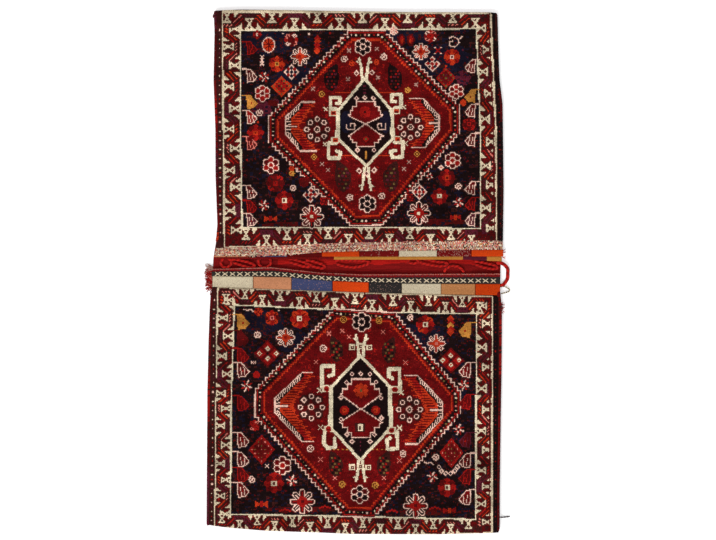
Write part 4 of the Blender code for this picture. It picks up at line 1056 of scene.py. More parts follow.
# Meshes
def new_piece(name, points, faces, yarns, finish, nodes, shades=1.0):
    """A mesh piece with one yarn, and one shade of it, for each face. It rides with the bag and stands for
    the nodes."""
    mesh = bpy.data.meshes.new(name)
    mesh.from_pydata([tuple(point) for point in points], [], faces)
    mesh.update()
    counts = numpy.array([len(face) for face in faces])
    shades = numpy.repeat(numpy.broadcast_to(shades, len(counts)), counts)
    colours = colour_table()[numpy.repeat(numpy.asarray(yarns), counts)] * shades[:, None]
    attribute = mesh.color_attributes.new("yarn", "FLOAT_COLOR", "CORNER")
    attribute.data.foreach_set("color", numpy.hstack([colours, numpy.ones((len(colours), 1))]).ravel())
    mesh.materials.append(material(finish))
    mesh.shade_smooth()
    piece = bpy.data.objects.new(name, mesh)
    bpy.context.scene.collection.objects.link(piece)
    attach(piece, "root")
    if nodes:
        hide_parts(*nodes)
    return piece


def at_corners(values):
    """For each corner of a grid's cells, the sum of the values of the cells that meet there."""
    rows, columns = values.shape
    total = numpy.zeros((rows + 1, columns + 1))
    for down in (0, 1):
        for across in (0, 1):
            total[down:rows + down, across:columns + across] += values
    return total


def grid_slab(x, y, top, foot, yarns, keep=None, rim_tone=None):
    """A closed slab over a grid of points: its upper faces, its rim down to the foot and one face below.
    Returns points, faces and one yarn for each face. Rows run down the chart, columns to its right. The
    rim is of one yarn if it is named, or else of the yarns along it."""
    rows, columns = x.shape
    keep = numpy.ones((rows - 1, columns - 1), dtype=bool) if keep is None else keep
    used = at_corners(keep) > 0
    number = numpy.full((rows, columns), -1)
    number[used] = numpy.arange(used.sum())
    points = numpy.stack([x[used], y[used], top[used]], axis=1)
    r, c = numpy.nonzero(keep)
    faces = numpy.stack([number[r + 1, c], number[r + 1, c + 1], number[r, c + 1], number[r, c]], axis=1)
    padded = numpy.pad(keep, 1)
    after = {}
    rim_yarn = {}
    for (dr, dc), corners in (((1, 0), ((1, 0), (1, 1))), ((0, 1), ((1, 1), (0, 1))),
                              ((-1, 0), ((0, 1), (0, 0))), ((0, -1), ((0, 0), (1, 0)))):
        bare = keep & ~padded[1 + dr:rows + dr, 1 + dc:columns + dc]
        for row, column in zip(*numpy.nonzero(bare)):
            start, end = (number[row + down, column + across] for down, across in corners)
            after[start] = end
            rim_yarn[start] = YARNS.index(rim_tone) if rim_tone else yarns[row, column]
    first = next(iter(after))
    loop = [first]
    while after[loop[-1]] != first:
        loop.append(after[loop[-1]])
    below = {point: len(points) + order for order, point in enumerate(loop)}
    low = points[loop].copy()
    low[:, 2] = foot
    rim = [(below[point], below[after[point]], after[point], point) for point in loop]
    every_face = [tuple(face) for face in faces.tolist()] + rim + [tuple(reversed([below[p] for p in loop]))]
    every_yarn = list(yarns[keep]) + [rim_yarn[point] for point in loop] + [int(yarns[keep][0])]
    return numpy.vstack([points, low]), every_face, every_yarn


def sway(x, y, seed):
    """A soft unevenness between -1 and 1 over the cloth, the same each time."""
    total = numpy.zeros_like(x)
    for order, (fx, fy) in enumerate(((23, 9), (11, 31), (41, 17), (-27, 38), (57, -13))):
        total = total + numpy.sin(fx * x + fy * y + seed * (order + 1.7)) / (1.4 + 0.35 * order)
    return total / 2.6


def tube_faces(rings, sides):
    """The faces between a tube's rings of points, ring by ring."""
    for start in range(0, (rings - 1) * sides, sides):
        for number in range(sides):
            here, there = start + number, start + (number + 1) % sides
            yield here, there, there + sides, here + sides


def tube_mesh(path, radius, sides, lobes=0, pitch=1.0, depth=0.0):
    """A closed tube along a path. Lobes are a twisted cord's strands, of a pitch and a depth."""
    points = [Vector(point) for point in path]
    end_taper = (0.55, 0.85, 1.0)
    rings_a_turn = 12
    made, strands = [], []
    run = 0.0
    up = Vector((0, 0, 1))
    for order, point in enumerate(points):
        before = points[max(order - 1, 0)]
        after = points[min(order + 1, len(points) - 1)]
        ahead = (after - before).normalized()
        side = ahead.cross(up)
        side = side.normalized() if side.length > 1e-4 else Vector((1, 0, 0))
        lift = side.cross(ahead).normalized()
        run += (point - points[order - 1]).length if order else 0.0
        end = min(order, len(points) - 1 - order)
        taper = end_taper[min(end, 2)]
        for number in range(sides):
            angle = 2 * math.pi * number / sides
            wave = math.cos(lobes * angle - 2 * math.pi * run / pitch) if lobes else 0.0
            reach = radius * taper * (1 + depth * wave)
            made.append(point + side * math.cos(angle) * reach + lift * math.sin(angle) * reach)
    for order in range(len(points) - 1):
        for number in range(sides):
            turn = (number + 0.5) / sides * max(lobes, 1) - order * lobes / rings_a_turn
            strands.append(int(turn) % 2)
    faces = list(tube_faces(len(points), sides))
    faces.append(tuple(reversed(range(sides))))
    faces.append(tuple(len(made) - sides + number for number in range(sides)))
    return made, faces, strands + [0, 0]


def smooth_path(points, spacing):
    """A curve through some points, read at even spacing."""
    ends = [points[0]] + list(points) + [points[-1]]
    fine_steps = 16
    fine = []
    for number in range(len(points) - 1):
        p0, p1, p2, p3 = (Vector(ends[number + k]) for k in range(4))
        for step in range(fine_steps):
            t = step / fine_steps
            fine.append(0.5 * (2 * p1 + (p2 - p0) * t + (2 * p0 - 5 * p1 + 4 * p2 - p3) * t * t
                               + (3 * p1 - p0 - 3 * p2 + p3) * t ** 3))
    fine.append(Vector(points[-1]))
    runs = [0.0]
    for before, after in zip(fine, fine[1:]):
        runs.append(runs[-1] + (after - before).length)
    count = max(3, round(runs[-1] / spacing))
    places = numpy.linspace(0, runs[-1], count + 1)
    read = [numpy.interp(places, runs, [point[axis] for point in fine]) for axis in range(3)]
    return [Vector(values) for values in zip(*read)], runs[-1]


# Knotted pile fronts
FIELDS = ("pouch_front", "guard_left", "guard_right", "border", "indigo_field", "medallion_edge", "medallion",
          "hooked_frame", "centre")
YARN_RISE = {"black": -0.5, "brown": -0.6, "navy": -0.3, "ivory": 0.5, "pale": 0.5, "orange": 0.2}


def add_tube(points, faces, path, radius, **twist):
    """Adds a tube to a mesh's points and faces, and returns how many faces it has."""
    made, some_faces, _ = tube_mesh(path, radius, **twist)
    faces += [tuple(point + len(points) for point in face) for face in some_faces]
    points += made
    return len(some_faces)


def front_outline(top, bottom):
    """The outline of a front on the chart, with its side edges inside the bindings."""
    seam = 1.2
    left_column, right_column = 215, 495
    shares = numpy.linspace(0, 1, 40)
    corners = [(BAG_LEFT(v) + seam, v) for v in (top(left_column), bottom(left_column))]
    across = [(BAG_RIGHT(v) - seam, v) for v in (top(right_column), bottom(right_column))]
    left = [(BAG_LEFT(v) + seam, v) for v in corners[0][1] + shares * (corners[1][1] - corners[0][1])]
    low = [(c, bottom(c)) for c in corners[1][0] + shares * (across[1][0] - corners[1][0])]
    right = [(BAG_RIGHT(v) - seam, v) for v in across[1][1] + shares * (across[0][1] - across[1][1])]
    high = [(c, top(c)) for c in across[0][0] + shares * (corners[0][0] - across[0][0])]
    return numpy.array(left[:-1] + low[:-1] + right[:-1] + high[:-1], dtype=float)


def nearest_on(outline, places):
    """The nearest places on a closed outline, and how far each lies."""
    best = numpy.full(len(places), 1e9)
    found = places.copy()
    for start, end in following(list(outline)):
        run = end - start
        share = numpy.clip(((places - start) @ run) / max(run @ run, 1e-9), 0, 1)
        near = start + share[:, None] * run
        away = numpy.hypot(*(places - near).T)
        closer = away < best
        best[closer] = away[closer]
        found[closer] = near[closer]
    return found, best


# How far a knot sits off its place, how the pile rounds off at its rim, and the shades of single knots
KNOT_PLAY = 0.11
MOST_KNOT_PLAY = 0.25
ROUNDED_KNOTS = 2.4
ROUNDED_BY = 0.0042
PILE_BELOW_TOP = 0.0003
KNOT_SHADES = (1.0, 0.16)
DARKEST, LIGHTEST = 0.6, 1.5
# Uneven patches of shade: their middle and spread, how fine they are, and a shift of the seed
SHADE_PATCHES = ((1.0, 0.16, 9, 9), (0.94, 0.30, 3, 2))


def pile_front(name, chart, outline, nodes, seed):
    """One front: a knot of the chart to a face, smooth at its outline, tufted and softly swelling."""
    sizes = bpy.context.scene.bag_sizes
    rows, columns = chart.knots.shape
    keep = inside_of(outline, *numpy.meshgrid(chart.columns, chart.rows))
    corner_x, corner_y = numpy.meshgrid(numpy.arange(columns + 1.0) + chart.left,
                                        numpy.arange(rows + 1.0) + chart.top)
    places = numpy.stack([corner_x.ravel(), corner_y.ravel()], axis=1)
    near, away = nearest_on(outline, places)
    touching = at_corners(keep)
    rim = ((touching > 0) & (touching < 4)).ravel()
    places[rim] = near[rim]
    away[rim] = 0.0
    chance = numpy.random.default_rng(seed)
    loose = chance.normal(0, KNOT_PLAY, places.shape)
    places[~rim] += numpy.clip(loose[~rim], -MOST_KNOT_PLAY, MOST_KNOT_PLAY)
    x, y = spot(*places.T)
    lift = numpy.array([YARN_RISE.get(yarn, 0.0) for yarn in YARNS])[chart.knots]
    tufts = chance.normal(0, 0.5, len(x)) + (at_corners(lift) / at_corners(numpy.ones_like(lift))).ravel()
    rounding = numpy.clip(1 - away / ROUNDED_KNOTS, 0, 1) ** 2
    top = (sizes.pile_top - PILE_BELOW_TOP + sizes.tuft * tufts + sizes.swell * sway(x, y, seed)
           - ROUNDED_BY * rounding)
    shape = (rows + 1, columns + 1)
    points, faces, yarns = grid_slab(x.reshape(shape), y.reshape(shape), top.reshape(shape), sizes.front_low,
                                     chart.knots, keep, rim_tone="deep")
    shades = numpy.clip(chance.normal(*KNOT_SHADES, len(faces)), DARKEST, LIGHTEST)
    x, y = numpy.array([points[face[0]][:2] for face in faces]).T
    for middle, spread, grain, shift in SHADE_PATCHES:
        shades *= middle + spread * sway(grain * x, grain * y, seed + shift)
    piece = new_piece(name, points, faces, yarns, "knotted_pile", nodes, shades=shades)
    return piece


def pouch_nodes(pouch):
    """The names of one pouch's nodes that its pile stands for."""
    return [f"{field}_{pouch}" for field in FIELDS]


class BAG_OT_pile_fronts(bpy.types.Operator):
    """Knots both pile fronts from their charts"""
    bl_idname = "bag.pile_fronts"
    bl_label = "Pile fronts"

    def execute(self, context):
        upper = front_outline(BAG_TOP, edge((205, 248.5), (360, 242.5), (505, 240.5)))
        pile_front("pile_front_upper", upper_chart(), upper, pouch_nodes("upper"), 3)
        lower = front_outline(edge((205, 286.6), (360, 292.4), (505, 296.2)), BAG_BOTTOM)
        pile_front("pile_front_lower", lower_chart(), lower, pouch_nodes("lower"), 8)
        return {"FINISHED"}


# The flat-woven back
def fold_path(end_y, direction, radius, centre_z, count=8):
    """Half a turn of the cloth at a far end, from the floor up and back."""
    turns = [math.pi * number / count for number in range(1, count + 1)]
    return [(end_y + direction * radius * math.sin(turn), centre_z - radius * math.cos(turn))
            for turn in turns]


def cloth_path(low, high, sizes):
    """The cloth's middle line along the bag, as places y and z, from one turned end to the other. Also the
    two places where its flat part ends."""
    half = sizes.cloth / 2
    radius = (high.z - sizes.cloth) / 2
    near_y = low.y + high.z / 2
    far_y = high.y - high.z / 2
    bridge_foot, bridge_head = -0.045, 0.060
    flat = [*numpy.linspace(near_y, bridge_foot, 56), *numpy.linspace(bridge_foot, bridge_head, 71)[1:],
            *numpy.linspace(bridge_head, far_y, 56)[1:]]
    start = fold_path(near_y, -1, radius, high.z / 2)[::-1]
    end = fold_path(far_y, 1, radius, high.z / 2)
    return numpy.array(start + [(float(value), half) for value in flat] + end), near_y, far_y


class BAG_OT_kilim_cloth(bpy.types.Operator):
    """Weaves the back, the bridge and the folds at its far ends"""
    bl_idname = "bag.kilim_cloth"
    bl_label = "Kilim cloth"

    def execute(self, context):
        sizes = context.scene.bag_sizes
        low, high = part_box("kilim_back")
        half = sizes.cloth / 2
        path, near_y, far_y = cloth_path(low, high, sizes)
        ahead = numpy.gradient(path, axis=0)
        ahead /= numpy.hypot(*ahead.T)[:, None]
        normal = numpy.stack([-ahead[:, 1], ahead[:, 0]], axis=1)
        across = numpy.linspace(0, 1, 121)
        inset = 0.6
        rows = MIDDLE_ROW - path[:, 0] / sizes.knot
        left = (BAG_LEFT(rows) + inset - MIDDLE_COLUMN) * sizes.knot
        right = (BAG_RIGHT(rows) - inset - MIDDLE_COLUMN) * sizes.knot
        x = left[:, None] + (right - left)[:, None] * across
        y = numpy.repeat(path[:, :1], len(across), axis=1)
        column = x / sizes.knot + MIDDLE_COLUMN
        bend = 0.06
        to_low = numpy.clip(1 - (y - near_y) / bend, 0, 1) ** 2
        to_high = numpy.clip(1 - (far_y - y) / bend, 0, 1) ** 2
        y += to_low * (MIDDLE_ROW - BAG_BOTTOM(column) - low.y / sizes.knot) * sizes.knot
        y -= to_high * (high.y / sizes.knot - MIDDLE_ROW + BAG_TOP(column)) * sizes.knot
        bridge_half, bridge_swell, weft_rise, weft_pitch = 0.06, 0.0004, 0.00012, 0.0016
        wave = (sway(x, y, 5) * bridge_swell * (numpy.abs(y) < bridge_half)
                + weft_rise * numpy.sin(y / weft_pitch))
        points = []
        for sign in (1, -1):
            rise = half * sign + wave * (sign > 0)
            py = y + normal[:, :1] * rise
            pz = path[:, 1:] + normal[:, 1:] * rise
            points.append(numpy.stack([x, py, numpy.maximum(pz, 0.0)], axis=2).reshape(-1, 3))
        count, wide = x.shape
        chance = numpy.random.default_rng(12)
        streak_length = 6
        streak = chance.random((count, wide // streak_length + 2)).repeat(streak_length, axis=1)
        faces, yarns, shades = [], [], []
        for r in range(count - 1):
            for c in range(wide - 1):
                here = r * wide + c
                faces.append((here, here + 1, here + wide + 1, here + wide))
                bright = c > 26 and 256.5 < rows[r] < 264.2 + 0.8 * math.sin(c * 0.3)
                yarns.append("red" if bright else "crimson")
                # Painted light: the top faces are lightened well past their yarns' colour to make up for the
                # shade round the bridge, while the underside and the rim keep shade 1; the streaks vary it at
                # random like uneven dye.
                shades.append((1.2 if bright else 1.25) + 0.7 * streak[r, c])
        base = count * wide
        faces += [tuple(point + base for point in reversed(face)) for face in faces]
        yarns += ["crimson"] * len(yarns)
        last = (count - 1) * wide
        rim = [*range(wide), *range(2 * wide - 1, base, wide), *range(base - 2, last - 1, -1),
               *range(last - wide, 0, -wide)]
        faces += [(end, start, start + base, end + base) for start, end in following(rim)]
        yarns += ["deep"] * len(rim)
        shades += [1.0] * (len(faces) - len(shades))
        piece = new_piece("kilim_cloth", numpy.vstack(points), faces, [YARNS.index(yarn) for yarn in yarns],
                          "flat_weave", ["kilim_back"], shades=shades)
        return {"FINISHED"}


# Overcast bindings
WRAP_BANDS = {
    ("left", "upper"): ((24, "plum"), (75, "deep"), (100, "crimson"), (122, "red"), (150, "crimson"),
                        (176, "plum"), (214, "deep"), (238, "crimson"), (262, "orange")),
    ("right", "upper"): ((40, "brown"), (90, "black"), (120, "deep"), (170, "black"), (216, "brown"),
                         (262, "black")),
    ("left", "lower"): ((330, "deep"), (380, "crimson"), (420, "red"), (470, "deep"), (540, "plum")),
    ("right", "lower"): ((320, "crimson"), (372, "red"), (410, "deep"), (470, "crimson"), (540, "deep")),
}


def wrap_colours(row, side, pouch):
    """The yarn of the wraps near a row. A band is its last row and its yarn."""
    return next((yarn for last, yarn in WRAP_BANDS[(side, pouch)] if row < last), "deep")


def binding_piece(side, pouch, first_row, last_row):
    """Wool wrapped round a side edge, wrap by wrap."""
    sizes = bpy.context.scene.bag_sizes
    line = BAG_LEFT if side == "left" else BAG_RIGHT
    sign = -1 if side == "left" else 1
    node = f"binding_{side}_{pouch}"
    low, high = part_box(node)
    tall = (high.z - low.z) / 2
    ring_gap, rings_a_wrap, sides, lean = 0.00088, 3, 14, 0.0007
    dark_wrap = 1.1
    count = round((last_row - first_row) * sizes.knot / ring_gap)
    chance = numpy.random.default_rng(21 if side == "left" else 22)
    wobble = chance.normal(0, 1, count // rings_a_wrap + 2)
    points, yarns = [], []
    for order in range(count + 1):
        row = first_row + (last_row - first_row) * order / count
        wrap = order / rings_a_wrap
        ridge = abs(math.sin(math.pi * wrap))
        taper = min(1.0, 0.72 + min(order, count - order) * 0.07)
        reach = taper * (0.93 + 0.07 * ridge + 0.012 * wobble[int(wrap)])
        x, y = spot(float(line(row)) - sign * sizes.binding / 2 / sizes.knot, row)
        for number in range(sides):
            angle = 2 * math.pi * number / sides
            across = math.cos(angle)
            up = math.sin(angle)
            points.append((x + across * sizes.binding / 2 * reach, y + lean * across,
                           max(0.0, tall + up * tall * reach * 0.99)))
    for order in range(count):
        row = first_row + (last_row - first_row) * order / count + 3 * wobble[order // rings_a_wrap % 40]
        dark = wobble[order // rings_a_wrap] > dark_wrap
        yarns += ["brown" if dark else wrap_colours(row, side, pouch)] * sides
    faces = [(a, d, c, b) for a, b, c, d in tube_faces(count + 1, sides)]
    faces.append(tuple(range(sides)))
    faces.append(tuple(reversed([count * sides + number for number in range(sides)])))
    yarns += ["deep"] * 2
    return new_piece(f"wraps_{side}_{pouch}", points, faces, [YARNS.index(yarn) for yarn in yarns],
                     "overcast_wool", [node])


class BAG_OT_bindings(bpy.types.Operator):
    """Overcasts the four side edges"""
    bl_idname = "bag.bindings"
    bl_label = "Bindings"

    def execute(self, context):
        upper_foot, lower_head = 241.5, 292.0
        for side, column in (("left", 214), ("right", 499)):
            binding_piece(side, "upper", float(BAG_TOP(column)) + 0.4, upper_foot)
            binding_piece(side, "lower", lower_head, float(BAG_BOTTOM(column)) - 0.6)
        return {"FINISHED"}


# Closure strips
MOTTLED_TOP = edge((205, 248.2), (224, 247.2), (290, 243.4), (360, 239.6), (505, 237.0))
MOTTLED_FOOT = edge((205, 255.5), (257, 256.6), (288, 255.0), (322, 252.2), (360, 251.0), (399, 250.6),
                    (505, 249.5))
BLOCKS_FOOT = edge((205, 257.0), (322, 256.6), (505, 256.4))
GOLD_FOOT = edge((205, 258.8), (336, 259.6), (463, 259.6), (505, 261.5))
HEM_TOP = edge((205, 269.2), (271, 267.2), (320, 272.6), (360, 274.4), (505, 273.4))
STITCH_TOP = edge((205, 271.6), (271, 270.6), (320, 275.2), (360, 277.4), (505, 277.0))
PANELS_TOP = edge((205, 276.0), (285, 277.0), (330, 280.8), (400, 283.6), (505, 284.0))
PANELS_FOOT = edge((205, 287.0), (330, 291.8), (400, 294.0), (505, 295.4))

UPPER_PANELS = (("salmon", 214, 252, 1.0), ("blue", 252, 300, 0.9), ("orange", 300, 359.4, 0.80),
                ("dark_red", 359.9, 398.6, 1.15), ("ivory", 399.1, 436.9, 0.84),
                ("dark_red", 437.4, 471.2, 1.15), ("orange", 471.7, 503.5, 0.86))
LOWER_PANELS = (("ivory", 212.4, 252.8, 0.90), ("salmon", 253.3, 291.2, 1.0), ("blue", 291.7, 332.2, 1.0),
                ("orange", 332.7, 368.6, 0.98), ("charcoal", 369.1, 401.4, 0.95),
                ("ivory", 401.9, 441.0, 0.84), ("tan", 441.5, 475.2, 1.0), ("orange", 475.7, 500.4, 0.76))
PANEL_YARNS = {"salmon": ("salmon", "tan"), "blue": ("blue", "mauve"), "orange": ("vermilion", "scarlet"),
               "dark_red": ("crimson", "mauve"), "ivory": ("cream", "mauve"),
               "charcoal": ("charcoal", "mauve"), "tan": ("tan", "salmon")}


def panel_paint(tone, upper):
    """The yarns of a panel: its own, with worn flecks. The upper mouth's first panels turn dark red."""
    own, fleck = PANEL_YARNS[tone]

    def paint(column, row, down, chance):
        if upper and 287 < column < 322:
            return "crimson"
        worn = 0.09 if tone == "dark_red" and column > 430 else 0.03
        return fleck if chance.random() < worn else own

    return paint


def woven_strip(name, node, span, lines, paint, finish="slit_weave", cell=0.5, rough=0.00012, lift=0.0,
                seed=1, shade=1.0, ragged=0.0):
    """A woven strip between two lines of the chart. Paint gives the yarn of a place on it."""
    sizes = bpy.context.scene.bag_sizes
    rib_rise, rib_pitch, soft_rise, rounded_by, rounded_cells = 0.0001, 0.0021, 0.0006, 0.0009, 1.6
    last_ragged_column = 300
    top_line, foot_line = lines
    middle = sum(span) / 2
    wide = max(2, round((span[1] - span[0]) / cell))
    tall = max(3, round((float(foot_line(middle)) - float(top_line(middle))) / cell))
    column = numpy.repeat(numpy.linspace(*span, wide + 1)[None, :], tall + 1, axis=0)
    down = numpy.linspace(0, 1, tall + 1)[:, None]
    chance = numpy.random.default_rng(seed)
    fray = ragged * chance.normal(0, 1, wide + 1) * (column[0] < last_ragged_column)
    row = top_line(column) + (foot_line(column) + fray - top_line(column)) * down
    x, y = spot(column, row)
    inner = numpy.minimum(numpy.arange(wide + 1), numpy.arange(wide, -1, -1))[None, :]
    ends = numpy.minimum(numpy.arange(tall + 1), numpy.arange(tall, -1, -1))[:, None]
    rounding = numpy.clip(1 - numpy.minimum(inner, ends) / rounded_cells, 0, 1)
    top = (sizes.strip_top + lift + rib_rise * numpy.cos(2 * math.pi * y / rib_pitch)
           + rough * chance.normal(0, 1, x.shape) + soft_rise * sway(x, y, seed) - rounded_by * rounding)
    half = cell / 2
    yarns = numpy.array([[YARNS.index(paint(column[r, c] + half, row[r, c] + half, down[r, 0], chance))
                          for c in range(wide)] for r in range(tall)])
    points, faces, yarns = grid_slab(x, y, top, sizes.front_low, yarns)
    shades = shade * numpy.clip(chance.normal(1.0, 0.10, len(faces)), 0.7, 1.3)
    piece = new_piece(name, points, faces, yarns, finish, [node], shades=shades)
    cut = ((span[1] - span[0]) * sizes.knot, float(numpy.ptp(y[:, wide // 2])))
    return piece


def mottle(column, row, down, chance):
    """The mottled band: worn pile ends and ivory warps."""
    pick = chance.random() + 0.08 * math.sin(row * 2.1 + column * 0.03)
    shares = ((0.08, "crimson"), (0.14, "brown"), (0.24, "tan"), (0.62, "mauve"), (0.78, "pink"),
              (0.83, "charcoal"), (1.1, "cream"))
    return next(yarn for limit, yarn in shares if pick < limit)


def gold(column, row, down, chance):
    """The gold edge, dark red on its left."""
    if column < 334:
        return "crimson" if chance.random() < 0.8 else "red"
    return "gold" if column < 463 or column > 487 else "plum"


def hem(column, row, down, chance):
    """The pink hem over the dark band, red below."""
    pick = chance.random()
    if down < 0.3:
        return "pink" if pick < 0.5 else "mauve" if pick < 0.7 else "red"
    return ("plum", "red", "crimson", "crimson")[int(pick * 3.99)]


class BAG_OT_strips(bpy.types.Operator):
    """Weaves the closure strips at both mouths"""
    bl_idname = "bag.strips"
    bl_label = "Closure strips"

    def execute(self, context):
        woven_strip("mottled_pile", "mottled_band", (215.5, 503.0),
                    (MOTTLED_TOP, MOTTLED_FOOT), mottle, finish="knotted_pile", cell=1.0, rough=0.0005,
                    lift=0.0010, seed=31, ragged=0.7)
        for mouth, panels, lines, seed in (("upper", UPPER_PANELS, (MOTTLED_FOOT, BLOCKS_FOOT), 40),
                                           ("lower", LOWER_PANELS, (PANELS_TOP, PANELS_FOOT), 50)):
            for number, (tone, left, right, shade) in enumerate(panels, 1):
                kind = f"{number}_{tone}_{mouth}"
                woven_strip(f"panel_{kind}", f"block_{kind}", (left, right), lines,
                            panel_paint(tone, mouth == "upper"), seed=seed + number, shade=shade)
        woven_strip("gold_edge", "gold_hem", (215, 502), (BLOCKS_FOOT, GOLD_FOOT), gold, seed=61)
        woven_strip("stitched_ground", "stitched_band", (211.5, 500.5),
                    (STITCH_TOP, PANELS_TOP), lambda *place: "charcoal", seed=62)
        woven_strip("lower_edge", "lower_hem", (212.5, 500.5), (HEM_TOP, STITCH_TOP), hem,
                    seed=63)
        return {"FINISHED"}


# Braided loops
LOOP_ROUTES = {
    "loop_1": ((223.5, 258.0), (220.9, 261.5), (222.0, 266.2), (226.6, 267.4), (230.6, 264.4), (230.8, 260.6),
               (227.8, 258.2)),
    "loop_2": ((231.0, 259.2), (238.0, 259.8), (247.0, 261.8), (253.4, 264.4), (254.0, 267.0), (249.0, 267.4),
               (241.0, 265.2), (232.6, 262.4)),
    "loop_3": ((262.0, 255.8), (258.8, 259.2), (258.6, 263.8), (262.4, 267.4), (267.4, 266.6), (270.8, 262.6),
               (269.2, 258.2), (265.4, 255.6)),
    "loop_4": ((288.6, 258.8), (295.0, 259.6), (303.0, 261.8), (308.6, 264.2), (308.4, 266.8), (302.0, 266.0),
               (295.0, 263.8), (289.2, 262.0)),
    "loop_5": ((305.6, 260.2), (311.0, 260.6), (319.0, 263.0), (324.4, 265.8), (323.0, 268.2), (316.0, 267.2),
               (310.0, 265.0), (304.6, 263.2)),
    "loop_6": ((335.2, 260.4), (343.0, 259.8), (353.0, 260.2), (363.0, 260.6), (369.4, 262.2), (364.0, 265.4),
               (354.0, 267.2), (344.0, 266.2), (336.2, 263.8)),
    "loop_7": ((407.4, 259.6), (411.6, 258.8), (416.4, 259.2), (418.2, 261.6), (415.0, 263.2), (410.4, 263.0),
               (407.6, 261.4)),
    "loop_8": ((418.6, 258.8), (426.0, 259.0), (436.0, 261.2), (445.6, 262.4), (447.0, 265.0), (441.0, 266.2),
               (431.0, 265.0), (420.0, 262.2)),
    "loop_9": ((444.2, 272.4), (446.6, 268.4), (451.6, 266.0), (457.4, 266.4), (461.8, 269.0),
               (464.2, 272.6)),
    "loop_10": ((474.8, 261.2), (482.0, 262.2), (490.0, 264.0), (497.0, 266.2), (496.0, 268.8),
                (488.6, 268.4), (481.0, 266.4), (475.4, 264.4)),
}


def braid(name, node, places, thickness, yarns, heights=None):
    """A braided cord along a given route of the chart."""
    sizes = bpy.context.scene.bag_sizes
    heights = heights or [sizes.cloth + 0.0004 + thickness / 2] * len(places)
    route = [(*spot(column, row), height) for (column, row), height in zip(places, heights)]
    path, length = smooth_path(route, thickness / 5)
    points, faces, strands = tube_mesh(path, thickness / 2, sides=12, lobes=3, pitch=thickness * 2.6,
                                       depth=0.12)
    piece = new_piece(name, points, faces, [YARNS.index(yarns[strand]) for strand in strands], "braided_wool",
                      [node])
    return piece


class BAG_OT_loops(bpy.types.Operator):
    """Braids the closure loops and the large loop at the right"""
    bl_idname = "bag.loops"
    bl_label = "Closure loops"

    def execute(self, context):
        sizes = context.scene.bag_sizes
        reds = ("scarlet", "red")
        for name, places in LOOP_ROUTES.items():
            braid(f"braid_{name}", name, places, sizes.loop_cord, reds)
        places = ((496.6, 262.6), (501.0, 263.2), (505.0, 264.8), (507.8, 268.8), (508.2, 274.4),
                  (507.0, 280.4), (503.6, 284.6), (500.4, 285.0))
        heights = (0.0068, 0.0068, 0.0062, 0.0050, 0.0045, 0.0046, 0.0052, 0.0062)
        braid("braid_side_loop", "side_loop", places, sizes.side_cord, reds, heights)
        places = ((500.6, 286.8), (504.6, 286.4), (508.8, 288.6), (510.0, 290.8), (507.0, 292.4),
                  (501.4, 293.6))
        heights = (0.0060, 0.0050, 0.0034, 0.0024, 0.0034, 0.0060)
        braid("braid_loop_end", "side_loop_end", places, 0.0030, ("charcoal", "cream"),
              heights)
        return {"FINISHED"}


# Loose wool and threads
def strands_piece(name, node, starts, yarns, seed, thickness=0.0012):
    """A tuft of loose strands as one mesh. A start is a place, a height, a direction, a length and a yarn
    number."""
    chance = numpy.random.default_rng(seed)
    points, faces, colours = [], [], []
    steps = 6
    lowest = thickness / 2 + 0.0002
    for column, row, height, heading, length, yarn in starts:
        places = []
        x, y = spot(column, row)
        for step in range(steps + 1):
            places.append((x, y, max(lowest, height)))
            heading += chance.normal(0, 0.32)
            x += math.cos(heading) * length / steps
            y += math.sin(heading) * length / steps
            height += chance.normal(-0.0002, 0.0006)
        path, _ = smooth_path(places, 0.0012)
        colours += [YARNS.index(yarns[yarn])] * add_tube(points, faces, path, thickness / 2, sides=5)
    return new_piece(name, points, faces, colours, "combed_wool", [node] if node else [])


